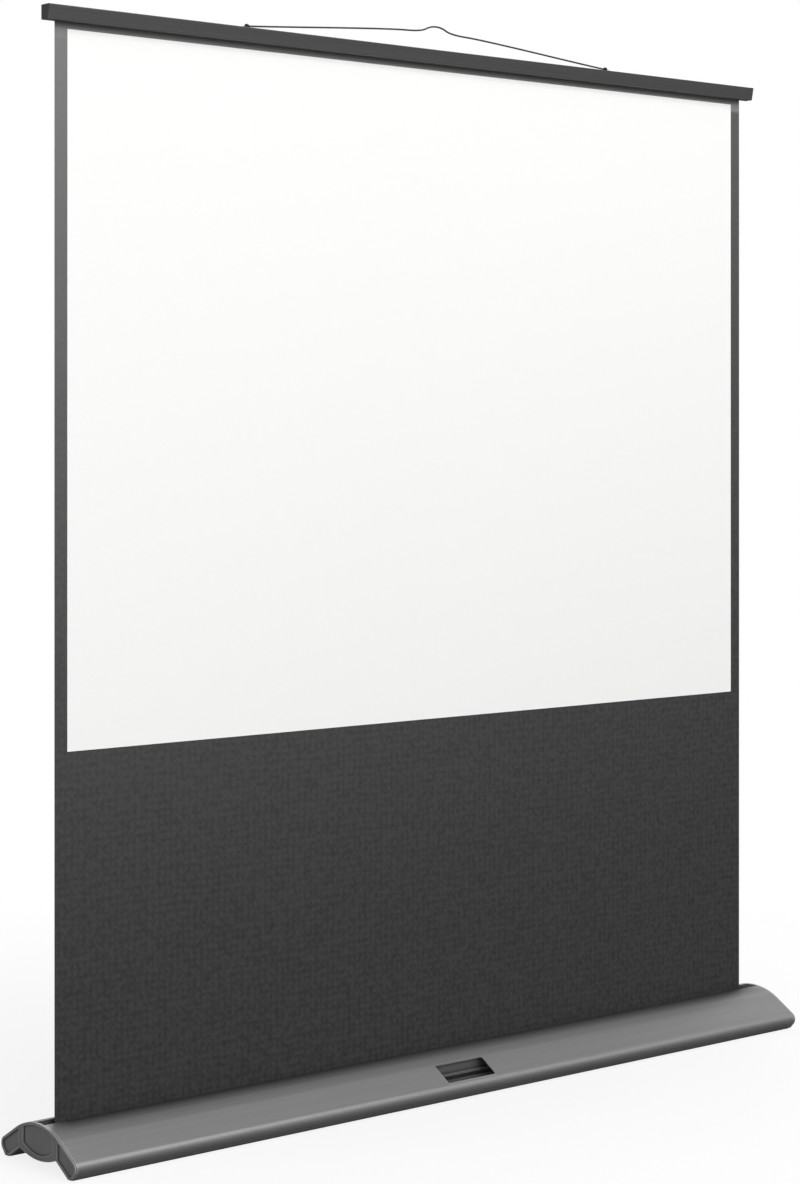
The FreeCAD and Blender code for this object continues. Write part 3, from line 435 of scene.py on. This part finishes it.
def weave(tree, place, thread_mm):
    """A pattern that is high where two threads cross."""
    waves = {"Vector": place, "Scale": per_metre(thread_mm) / WAVES_PER_SCALE}
    waves.update({"Distortion": 1.5, "Detail": 1.0})
    rows = [add(tree, "ShaderNodeTexWave", waves, bands_direction=way).outputs["Fac"] for way in "XZ"]
    return arithmetic(tree, "MULTIPLY", *rows)


def painted_sheen(tree, place):
    """How much painted sheen the cloth gets, more towards the top and the left, plus painted light in
    the top band.
    """
    axes = add(tree, "ShaderNodeSeparateXYZ", {"Vector": place})
    # Painted sheen: paler towards the top, and more so on the left
    rise = ranged(tree, axes.outputs["Z"], 0.0, cloth_drop, 0.0, 1.0)
    steep = arithmetic(tree, "POWER", rise, 2.0)
    half = cloth_width / 2
    left = ranged(tree, axes.outputs["X"], half, -half, RIGHT_SHEEN, LEFT_SHEEN)
    top_left_sheen = arithmetic(tree, "MULTIPLY_ADD", steep, left, LEAST_SHEEN)
    # Painted light in the top band under the slat, against the slat's shadow
    hem_foot = cloth_high[2] - HEM
    hem = ranged(tree, axes.outputs["Z"], hem_foot, hem_foot + HEM_FADE, 0.0, HEM_LIGHT)
    return arithmetic(tree, "ADD", top_left_sheen, hem)


def woven_cloth(name, dark, light, sheen_colour, thread_mm):
    """A coated plain weave with a speckle, a painted sheen and painted shade."""
    material, tree, shader, place = new_finish(name, Roughness=0.85, IOR=1.45)
    crossing = weave(tree, place, thread_mm)
    speckle = noise(tree, place, SPECKLE_MM, detail=4.0)
    grain = arithmetic(tree, "MULTIPLY_ADD", crossing, WEAVE_IN_COLOUR, speckle)
    tint(tree, shader, grain, dark, light)
    # Painted sheen towards the top and left, and painted light under the slat
    recolour(tree, shader, painted_sheen(tree, place), colour_of(shader), sheen_colour)
    raise_grain(tree, shader, crossing, depth_mm=0.07)
    # Painted shade where the slat, the base and the mast stand close to the cloth
    paint_shade(tree, shader, reach_mm=14, depth=2.2)
    return material


# Dull charcoal with a fine grid and a speckle, and no shine
FINISHES["black_cloth"] = woven_cloth(
    "black_glass_fibre_cloth", dark="#191919", light="#303030", sheen_colour="#808080", thread_mm=2.0
)
print("cloth", round(cloth_width, 3), "by", round(cloth_drop, 3), "metres")

# %% [markdown]
# The picture is a matte white coat on the front of the cloth. Its work is to scatter light evenly,
# so it is as rough as paper and has almost no grain.


# %% Make the picture's finish
def matte_white(name, dark, light, grain_mm):
    """A white coat that is flat, soft and even."""
    material, tree, shader, place = new_finish(name, Roughness=0.95, IOR=1.4)
    grain = noise(tree, place, grain_mm, detail=2.0)
    tint(tree, shader, grain, dark, light)
    raise_grain(tree, shader, grain, depth_mm=0.01)
    return material


# Even white without any highlight
FINISHES["white_surface"] = matte_white(
    "white_picture_coat", dark="#f6f6f5", light="#fbfbfa", grain_mm=1.2
)
print("finishes in all", len(FINISHES))

# %% [markdown]
# In the photograph the crest of the base is darker beside the cloth than this scene's lamps alone
# make it, and bright again past the cloth's ends. So a dark band is drawn there, next to the slot
# and as long as the cloth is wide, which fades out over the next few centimetres. It goes over
# the colour that the aluminium already has.

# %% Paint shade on the crest beside the slot
SLOT_HALF_WIDTH = 13.5 * MM
BAND_REACH = 46 * MM
BAND_STRENGTH = 0.85
BAND_COLOUR = "#0e0e0e"


# Painted shade and painted reflection of the black cloth on the crest of the base
def paint_crest_shade(material):
    """Darken a finish beside the slot, less and less away from it and past the cloth's ends."""
    tree = material.node_tree
    shader = next(node for node in tree.nodes if node.type == "BSDF_PRINCIPLED")
    place = add(tree, "ShaderNodeTexCoord").outputs["Object"]
    axes = add(tree, "ShaderNodeSeparateXYZ", {"Vector": place})
    edge = cloth_width / 2
    strength = BAND_STRENGTH
    for axis, full, gone in (
        ("Y", SLOT_HALF_WIDTH, BAND_REACH),
        ("X", edge - SLOT_HALF_WIDTH, edge + BAND_REACH),
    ):
        away = arithmetic(tree, "ABSOLUTE", axes.outputs[axis])
        fade = ranged(tree, away, full, gone, 1.0, 0.0)
        strength = arithmetic(tree, "MULTIPLY", fade, strength)
    recolour(tree, shader, strength, colour_of(shader), BAND_COLOUR)


paint_crest_shade(FINISHES["base_aluminium"])
print("the band ends", BAND_REACH, "metres from the middle of the slot")

# %% [markdown]
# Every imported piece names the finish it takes, and four of them have their own: the grey end caps
# and the black wire eyes. Giving each piece its finish now means that nothing is left bare, even
# the pieces inside the base that hardly show.

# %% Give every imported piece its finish
slot_of = {row["node"]: row["material_slot"] for row in frame["record"]["subparts"]}
body_of = {
    node: body
    for body, nodes in frame["record"]["behaviour"]["bodies"].items()
    for node in nodes
}


def finish_of(node):
    """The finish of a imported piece: its own where it has one, or else its material's."""
    return FINISHES.get(node, FINISHES[slot_of[node]])


for name, thing in frame["nodes"].items():
    thing.data.materials.clear()
    thing.data.materials.append(finish_of(name))
print("pieces with a finish", len(slot_of))

# %% [markdown]
# The pieces that this script makes all enter the scene in one way. Each is shaded smooth up to a
# sharp edge, gets its finish, rides on the body that it belongs to, and takes the place of the
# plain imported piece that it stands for, if there is one.

# %% Put a finished piece in the scene
SHARP_EDGE = radians(40)


def mesh_from(name, shape):
    """A mesh from a finished shape."""
    mesh = bpy.data.meshes.new(name)
    shape.to_mesh(mesh)
    shape.free()
    return mesh


def smooth(mesh, sharp=SHARP_EDGE):
    """Shade a mesh smooth except at its sharp edges."""
    mesh.shade_smooth()
    mesh.set_sharp_from_angle(angle=sharp)
    return mesh


def enter(name, mesh, finish, body):
    """Put a mesh in the scene with its finish, on its body."""
    piece = bpy.data.objects.new(name, mesh)
    bpy.context.scene.collection.objects.link(piece)
    mesh.materials.clear()
    mesh.materials.append(finish)
    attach(piece, body)
    return piece


def stand_in(name, mesh, node):
    """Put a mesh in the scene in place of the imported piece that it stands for."""
    piece = enter(name, mesh, finish_of(node), body_of[node])
    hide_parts(node)
    return piece


# %% [markdown]
# Computer models have knife edges, and real ones don't: a sawn extrusion is deburred, a mould
# has rounded corners, a tube is brushed off. These thin rounds are what catches the light along
# an edge. Each visible piece is copied, its loose triangles are joined and its flat areas made
# whole, and then its corners are rounded by a fraction of a millimetre.

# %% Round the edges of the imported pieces
SAME_POINT = 0.004 * MM
FLAT = radians(0.5)
CORNER = radians(28)


def dressed(node, edge_mm, sharp=SHARP_EDGE):
    """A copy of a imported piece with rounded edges, which stands for it and moves with it."""
    shape = bmesh.new()
    shape.from_mesh(frame["nodes"][node].data)
    bmesh.ops.remove_doubles(shape, verts=shape.verts, dist=SAME_POINT)
    bmesh.ops.dissolve_limit(
        shape,
        angle_limit=FLAT,
        use_dissolve_boundaries=False,
        verts=shape.verts,
        edges=shape.edges,
    )
    if edge_mm:
        bmesh.ops.bevel(
            shape,
            geom=[e for e in shape.edges if e.is_manifold and e.calc_face_angle() > CORNER],
            offset=edge_mm * MM,
            offset_type="OFFSET",
            segments=2,
            profile=0.5,
            affect="EDGES",
            clamp_overlap=True,
            material=-1,
        )
    name = node + "_dressed"
    piece = stand_in(name, smooth(mesh_from(name, shape), sharp), node)
    flatten = piece.modifiers.new("flat_faces_stay_flat", "WEIGHTED_NORMAL")
    flatten.keep_sharp = True


# Millimetres of rounding on each piece
EDGE_ROUNDS = {
    "base_housing": 0.35,
    "end_cap_left": 0.6,
    "end_cap_right": 0.6,
    "top_slat": 0.2,
    "slat_cap_left": 0.3,
    "slat_cap_right": 0.3,
    "mast_bracket": 0.5,
    "mast_foot": 0.5,
    "mast_cradle": 0.4,
    "mast_head": 0.5,
    "mast_catch": 0.25,
    "clamp_collar_lower": 0.4,
    "clamp_collar_upper": 0.4,
    "clamp_lever_lower": 0.5,
    "clamp_lever_upper": 0.5,
    "mast_pivot_pin": 0.3,
    "wire_eye_left": 0.3,
    "wire_eye_right": 0.3,
    "mast_tube_lower": 0.2,
    "mast_tube_mid": 0.2,
    "mast_tube_top": 0.2,
}
for node, edge_mm in EDGE_ROUNDS.items():
    dressed(node, edge_mm)
print("pieces with rounded edges", len(EDGE_ROUNDS))

# %% [markdown]
# The turns of cloth that stay on the roller are drawn as one smooth roll, since nothing but their
# outside could ever be seen. It has no edge to round and only needs smooth shading.

# %% Smooth the roll of spare cloth
ROLL_EDGE = radians(70)
dressed("fabric_wraps", edge_mm=0, sharp=ROLL_EDGE)

# %% [markdown]
# The hanger wire is round, and bent by hand round a former, so its bends run softly into each
# other, with a hump in the middle for a hook. A curve does that well: one smooth line that a few
# points pull into shape, with a round section drawn along it.

# %% Bend the hanger wire
WIRE_RADIUS = 1.6 * MM
# Millimetres along the slat from its middle, and up from the wire's foot
WIRE_BENDS = [
    (-430, 0),
    (-110, 27.5),
    (-36, 29.5),
    (-13, 41),
    (13, 41),
    (36, 29.5),
    (110, 27.5),
    (430, 0),
]
BEND_STEPS = 10
WIRE_EDGE = radians(50)
wire_low, wire_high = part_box("hanger_wire")
wire_foot = wire_low[2] + WIRE_RADIUS
wire_line = (wire_low[1] + wire_high[1]) / 2
bends = [(x * MM, rise * MM) for x, rise in WIRE_BENDS]
route = [(wire_low[0], 0)] + bends + [(wire_high[0], 0)]
wire_curve = bpy.data.curves.new("bent_hanger_wire", "CURVE")
wire_curve.dimensions = "3D"
spline = wire_curve.splines.new("NURBS")
spline.points.add(len(route) - 1)
for point, (x, rise) in zip(spline.points, route):
    point.co = (x, wire_line, wire_foot + rise, 1)
spline.order_u = 3
spline.use_endpoint_u = True
spline.resolution_u = BEND_STEPS
wire_curve.bevel_depth = WIRE_RADIUS
wire_curve.bevel_resolution = 3
wire_curve.use_fill_caps = True
former = bpy.data.objects.new("bent_hanger_wire_line", wire_curve)
wire_mesh = smooth(bpy.data.meshes.new_from_object(former), WIRE_EDGE)
bpy.data.objects.remove(former)
stand_in("bent_hanger_wire", wire_mesh, "hanger_wire")
print("wire", [round(c, 4) for c in wire_high], "faces", len(wire_mesh.polygons))

# %% [markdown]
# The cloth hangs between the roller and the slat with the roller's spring pulling it tight. It
# still isn't a pane of glass: it swells and dips by a fraction of a millimetre between its two
# held edges, in a long wave and a short one. A grid of squares gets a thickness and then that
# swell. The picture's coat follows the same swell, just in front.

# %% Shape a hanging sheet
UNIT_HALF = 0.5
SWELL = 0.5 * MM
LONG_WAVE = 0.62
LONG_WAVE_START = 0.6
SHORT_WAVE = 0.27
SHORT_WAVE_SHARE = 0.5


def swell(x, z):
    """How far the cloth stands back from its plane, in metres, none at the roller or slat."""
    held = sin(pi * min(max((z - cloth_low[2]) / cloth_drop, 0), 1))
    long_wave = cos(2 * pi * x / LONG_WAVE + LONG_WAVE_START)
    short_wave = SHORT_WAVE_SHARE * cos(2 * pi * x / SHORT_WAVE)
    return SWELL * held * (long_wave + short_wave)


def points_in(geometry):
    """The points among the parts that a mesh operation returns."""
    return [part for part in geometry if isinstance(part, bmesh.types.BMVert)]


def hung(name, low, high, across, down):
    """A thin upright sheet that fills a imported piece's box and follows the swell."""
    shape = bmesh.new()
    bmesh.ops.create_grid(shape, x_segments=across, y_segments=down, size=UNIT_HALF)
    middle = (Vector(low) + Vector(high)) / 2
    size = Vector(high) - Vector(low)
    upright = Matrix.Rotation(radians(90), 4, "X")
    stretch = Matrix.Diagonal((size[0], 1, size[2], 1))
    place = Matrix.Translation((middle[0], high[1], middle[2]))
    bmesh.ops.transform(shape, matrix=place @ stretch @ upright, verts=shape.verts)
    front = bmesh.ops.extrude_face_region(shape, geom=list(shape.faces))["geom"]
    bmesh.ops.translate(shape, vec=(0, -size[1], 0), verts=points_in(front))
    for point in shape.verts:
        point.co.y += swell(point.co.x, point.co.z)
    bmesh.ops.recalc_face_normals(shape, faces=shape.faces)
    return smooth(mesh_from(name, shape))


print("swell at the middle", round(swell(0, cloth_high[2] / 2), 5), "metres")

# %% [markdown]
# When the slat comes down, the real cloth and its picture wind on to the roller. Here each is
# drawn once, as a sheet that fills its imported piece's box, on a mesh of its own. With the slat
# up, both have the length that they would have laid out flat.

cloth_mesh = hung("screen_cloth", cloth_low, cloth_high, across=66, down=74)
cloth = stand_in("screen_cloth", cloth_mesh, "screen_fabric")
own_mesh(cloth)

image_low, image_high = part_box("image_surface")
picture_mesh = hung("white_picture", image_low, image_high, across=64, down=48)
picture = stand_in("white_picture", picture_mesh, "image_surface")
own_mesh(picture)

# %% [markdown]
# The roller's spring is one long close-wound coil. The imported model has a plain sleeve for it.
# Here a small ring is spun round the axis many times while it creeps along, as the wire does on
# a winding lathe.

# %% Wind the roller's spring
SPRING_WIRE = 1.9 * MM
SPRING_PITCH = 2.1 * MM
STEPS_A_TURN = 16
WIRE_SIDES = 6
spring_low, spring_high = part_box("torsion_spring")
spring_axis = Vector((0, (spring_low[1] + spring_high[1]) / 2, (spring_low[2] + spring_high[2]) / 2))
coil_radius = (spring_high[2] - spring_low[2]) / 2 - SPRING_WIRE / 2
spring_length = spring_high[0] - spring_low[0] - SPRING_WIRE
turns = int(spring_length / SPRING_PITCH)
coil = bmesh.new()
bmesh.ops.create_circle(coil, radius=SPRING_WIRE / 2, segments=WIRE_SIDES)
start = Vector((spring_low[0] + SPRING_WIRE / 2, spring_axis.y, spring_axis.z + coil_radius))
facing = Matrix.Translation(start) @ Matrix.Rotation(radians(90), 4, "X")
bmesh.ops.transform(coil, matrix=facing, verts=coil.verts)
bmesh.ops.spin(
    coil,
    geom=coil.edges[:] + coil.verts[:],
    cent=spring_axis,
    axis=(1, 0, 0),
    dvec=(spring_length / (turns * STEPS_A_TURN), 0, 0),
    angle=2 * pi * turns,
    steps=turns * STEPS_A_TURN,
    use_merge=False,
)
bmesh.ops.holes_fill(coil, edges=[e for e in coil.edges if e.is_boundary], sides=WIRE_SIDES)
bmesh.ops.recalc_face_normals(coil, faces=coil.faces)
spring_mesh = mesh_from("wound_spring", coil)
spring_mesh.shade_smooth()
stand_in("wound_spring", spring_mesh, "torsion_spring")
print("spring turns", turns, "faces", len(spring_mesh.polygons))

# %% [markdown]
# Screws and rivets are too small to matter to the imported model, but the eye looks for them: two
# button-head screws on the mast's bracket, two on the slat's catch, and a rivet through the foot
# of each wire eye. Each head is a profile spun round its own axis. The screws then get a
# six-sided key recess, pressed into the flat of the head. Their sizes are in millimetres.

# %% Shape the head of a screw or rivet
ROUND_STEPS = 24
KEY_SIDES = 6
FLAT_SHARE = 0.55
# Shares of the radius and the height, from the foot of the head to the edge of its flat
CROWN = [(1, 0), (1, 0.25), (0.86, 0.75), (FLAT_SHARE, 1)]
PLAIN_KEY_SHARE = 0.4
KEY_DEPTH_SHARE = 0.6
LEVEL_WITHIN = 0.01 * MM


def press_key(shape, key_radius, height, recessed):
    """Close the top of a head round a six-sided key, and sink the key if it is recessed."""
    key = bmesh.ops.create_circle(shape, radius=key_radius, segments=KEY_SIDES)["verts"]
    bmesh.ops.translate(shape, vec=(0, 0, height), verts=key)
    boundary = [e for e in shape.edges if e.is_boundary]
    top = [e for e in boundary if all(abs(v.co.z - height) < LEVEL_WITHIN for v in e.verts)]
    key_edges = [e for e in shape.edges if all(v in key for v in e.verts)]
    bmesh.ops.bridge_loops(shape, edges=top + [e for e in key_edges if e not in top])
    floor = bmesh.ops.contextual_create(shape, geom=key_edges)["faces"]
    if recessed:
        sunk = bmesh.ops.extrude_face_region(shape, geom=floor)["geom"]
        bmesh.ops.delete(shape, geom=floor, context="FACES_ONLY")
        bmesh.ops.translate(shape, vec=(0, 0, -KEY_DEPTH_SHARE * height), verts=points_in(sunk))


def button_head(name, radius_mm, height_mm, key_mm, place):
    """A round head that stands on its place, with a key recess if its key has a size."""
    radius, height = radius_mm * MM, height_mm * MM
    plain_key = PLAIN_KEY_SHARE * FLAT_SHARE * radius
    shape = bmesh.new()
    points = [shape.verts.new((out * radius, 0, up * height)) for out, up in CROWN]
    rim = [shape.edges.new(pair) for pair in zip(points, points[1:])]
    bmesh.ops.spin(
        shape,
        geom=points + rim,
        cent=(0, 0, 0),
        axis=(0, 0, 1),
        angle=2 * pi,
        steps=ROUND_STEPS,
        use_merge=True,
    )
    press_key(shape, key_mm * MM or plain_key, height, recessed=key_mm > 0)
    bottom = [e for e in shape.edges if e.is_boundary]
    bmesh.ops.holes_fill(shape, edges=bottom, sides=ROUND_STEPS)
    bmesh.ops.transform(shape, matrix=place, verts=shape.verts)
    bmesh.ops.recalc_face_normals(shape, faces=shape.faces)
    return smooth(mesh_from(name, shape))


print("a head has", ROUND_STEPS, "sides and a key", KEY_SIDES)

# %% [markdown]
# The heads stand where a fitter would put them: on the bracket's two ends, side by side on the
# catch, and on the feet of the eyes. Each sinks a hair into its plate, so that no light shows
# under it.

# %% Drive the screws and set the rivets
UP = Matrix.Identity(4)
REARWARD = Matrix.Rotation(radians(-90), 4, "X")
SINK = 0.05 * MM
BRACKET_TOP = 75.5 * MM
CATCH_SHEET = 1.5 * MM
CATCH_SCREW_DROP = 10 * MM
EYE_PLATE = 1.2 * MM
BRACKET_REACH, CATCH_REACH, EYE_REACH = 20 * MM, 11 * MM, 443.5 * MM
bracket_low, bracket_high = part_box("mast_bracket")
catch_low, catch_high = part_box("mast_catch")
eye_low, eye_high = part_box("wire_eye_right")
bracket_y = (bracket_low[1] + bracket_high[1]) / 2
catch_y, catch_z = catch_low[1] + CATCH_SHEET - SINK, catch_high[2] - CATCH_SCREW_DROP
eye_y = (eye_low[1] + eye_high[1]) / 2
ZINC = FINISHES["zinc_steel"]
bracket_at = (BRACKET_REACH, bracket_y, BRACKET_TOP - SINK)
catch_at = (CATCH_REACH, catch_y, catch_z)
eye_at = (EYE_REACH, eye_y, eye_low[2] + EYE_PLATE - SINK)
# Radius, height and key in millimetres; place of the right-hand one; turn, finish and body
HEADS = {
    "bracket_screw": (4, 2.2, 1.4, bracket_at, UP, ZINC, "base"),
    "catch_screw": (2.9, 1.4, 1.0, catch_at, REARWARD, ZINC, "slat"),
    "eye_rivet": (2.6, 1.2, 0, eye_at, UP, BLACK_ZINC, "slat"),
}
for kind, (radius, height, key, (reach, y, z), turn, finish, body) in HEADS.items():
    for side, sign in (("left", -1), ("right", 1)):
        name = f"{kind}_{side}"
        place = Matrix.Translation((sign * reach, y, z)) @ turn
        enter(name, button_head(name, radius, height, key, place), finish, body)
print("screws and rivets", 2 * len(HEADS))

# %% [markdown]
# The picture is taken in a bright white studio. The floor is a wide pale plane. The camera sees
# the screen's shadow on it near the middle, and further out the floor fades into the white of the
# room. To all other light it is a dull grey, so that it doesn't fill every shadow under the base.

# %% Lay the studio floor
FLOOR_SIZE = 60
FADE_START, FADE_END = 0.3, 2.2
LEAST_GLOW, FULL_GLOW = 0.75, 1.0
# Pale and flat, so that nothing of it is seen but the screen's shadow
floor_material, tree, shader, place = new_finish("studio_floor", Roughness=0.9)
shader.inputs["Base Color"].default_value = linear("#fafafa")
distance = add(tree, "ShaderNodeVectorMath", {0: place}, operation="LENGTH").outputs["Value"]
fade = ranged(tree, distance, FADE_START, FADE_END, LEAST_GLOW, FULL_GLOW)
glow = add(tree, "ShaderNodeEmission", {"Color": linear("#ffffff"), "Strength": 1.0}).outputs[0]
seen_floor = add(tree, "ShaderNodeMixShader", {0: fade, 1: shader.outputs[0], 2: glow}).outputs[0]
dim = add(tree, "ShaderNodeBsdfDiffuse", {"Color": linear("#8a8a8a")}).outputs[0]
by_camera = add(tree, "ShaderNodeLightPath").outputs["Is Camera Ray"]
whole = add(tree, "ShaderNodeMixShader", {0: by_camera, 1: dim, 2: seen_floor}).outputs[0]
output = next(node for node in tree.nodes if node.type == "OUTPUT_MATERIAL")
tree.links.new(whole, output.inputs["Surface"])
plane = bmesh.new()
bmesh.ops.create_grid(plane, x_segments=1, y_segments=1, size=FLOOR_SIZE / 2)
floor_mesh = mesh_from("studio_floor", plane)
floor_mesh.materials.append(floor_material)
floor = bpy.data.objects.new("studio_floor", floor_mesh)
bpy.context.scene.collection.objects.link(floor)
print("floor", FLOOR_SIZE, "metres")

# %% [markdown]
# The room is white to the camera. What it gives as light is weaker, so that the shadows keep some
# depth. What shines in the metal is a room that is dim at the horizon and grows to white
# overhead, which is what models the round crest and the wings of the base.

# %% Surround it with a white room
ROOM_LIGHT = 0.42
HORIZON_SHINE, OVERHEAD_SHINE = 0.3, 1.0
OVERHEAD = 0.6
WHITE = linear("#ffffff")
world = bpy.data.worlds.new("white_room")
bpy.context.scene.world = world
world.use_nodes = True
tree = world.node_tree
tree.nodes.clear()


def background(strength):
    """A white background of some strength."""
    return add(tree, "ShaderNodeBackground", {"Color": WHITE, "Strength": strength}).outputs[0]


rays = add(tree, "ShaderNodeLightPath").outputs
seen = arithmetic(tree, "MAXIMUM", rays["Is Camera Ray"], rays["Is Transmission Ray"])
direction = add(tree, "ShaderNodeTexCoord").outputs["Generated"]
upward = add(tree, "ShaderNodeSeparateXYZ", {"Vector": direction}).outputs["Z"]
shine = ranged(tree, upward, 0.0, OVERHEAD, HORIZON_SHINE, OVERHEAD_SHINE)
lighting = {0: rays["Is Glossy Ray"], 1: background(ROOM_LIGHT), 2: background(shine)}
unseen = add(tree, "ShaderNodeMixShader", lighting).outputs[0]
room = add(tree, "ShaderNodeMixShader", {0: seen, 1: unseen, 2: background(1.0)}).outputs[0]
add(tree, "ShaderNodeOutputWorld", {"Surface": room})
print("room light", ROOM_LIGHT, "of white")

# %% [markdown]
# Four soft boxes shape the light. The brightest hangs over the front and lights the top of the
# base. One stands at the left front and one at the right front, which fills the shadows and is
# hidden from anything glossy, so that it leaves no second highlight. The last stands behind, on
# the right.


# %% Set up the soft boxes
def lamp(name, watts, size, at, towards):
    """A square soft box that faces a point."""
    light = bpy.data.lights.new(name, "AREA")
    light.energy = watts
    light.shape = "SQUARE"
    light.size = size
    holder = bpy.data.objects.new(name, light)
    holder.location = at
    holder.rotation_euler = (Vector(towards) - Vector(at)).to_track_quat("-Z", "Y").to_euler()
    bpy.context.scene.collection.objects.link(holder)
    return holder


lamp("key_soft_box", watts=80, size=2.4, at=(-3.6, -3.4, 1.6), towards=(0, 0, 0.7))
fill = lamp("fill_soft_box", watts=36, size=3.0, at=(3.6, -3.6, 1.2), towards=(0, 0, 0.6))
fill.visible_glossy = False
lamp("overhead_soft_box", watts=150, size=3.4, at=(0.8, -3.6, 4.6), towards=(0.2, 0, 0))
lamp("rear_soft_box", watts=60, size=2.4, at=(2.8, 3.6, 2.6), towards=(0, 0, 0.9))
print("soft boxes", [light.name for light in bpy.data.lights if "soft_box" in light.name])

# %% [markdown]
# The camera stands to the left of the screen's front, a little lower than its top, and looks
# level. The lens is shifted so that the upright edges stay upright, as a view camera does it. The
# focal length and the horizon's row are counted in rows of a picture 1184 rows high.

# %% Place the camera
PICTURE_HEIGHT = 1184
FOCAL_LENGTH = 2662
HORIZON_ROW = 430.75
SENSOR_HEIGHT = 36
CAMERA_PLACE = (-3.208, -3.739, 1.212)
YAW = radians(39.86)
camera_data = bpy.data.cameras.new("view_camera")
camera_data.sensor_fit = "VERTICAL"
camera_data.sensor_height = SENSOR_HEIGHT
camera_data.lens = FOCAL_LENGTH / PICTURE_HEIGHT * SENSOR_HEIGHT
camera_data.shift_y = (HORIZON_ROW - PICTURE_HEIGHT / 2) / PICTURE_HEIGHT
camera = bpy.data.objects.new("view_camera", camera_data)
camera.location = CAMERA_PLACE
camera.rotation_euler = (radians(90), 0, -YAW)
bpy.context.scene.collection.objects.link(camera)
bpy.context.scene.camera = camera
bpy.context.scene.view_settings.view_transform = "Standard"
print("lens", round(camera_data.lens, 2), "shift", round(camera_data.shift_y, 4))
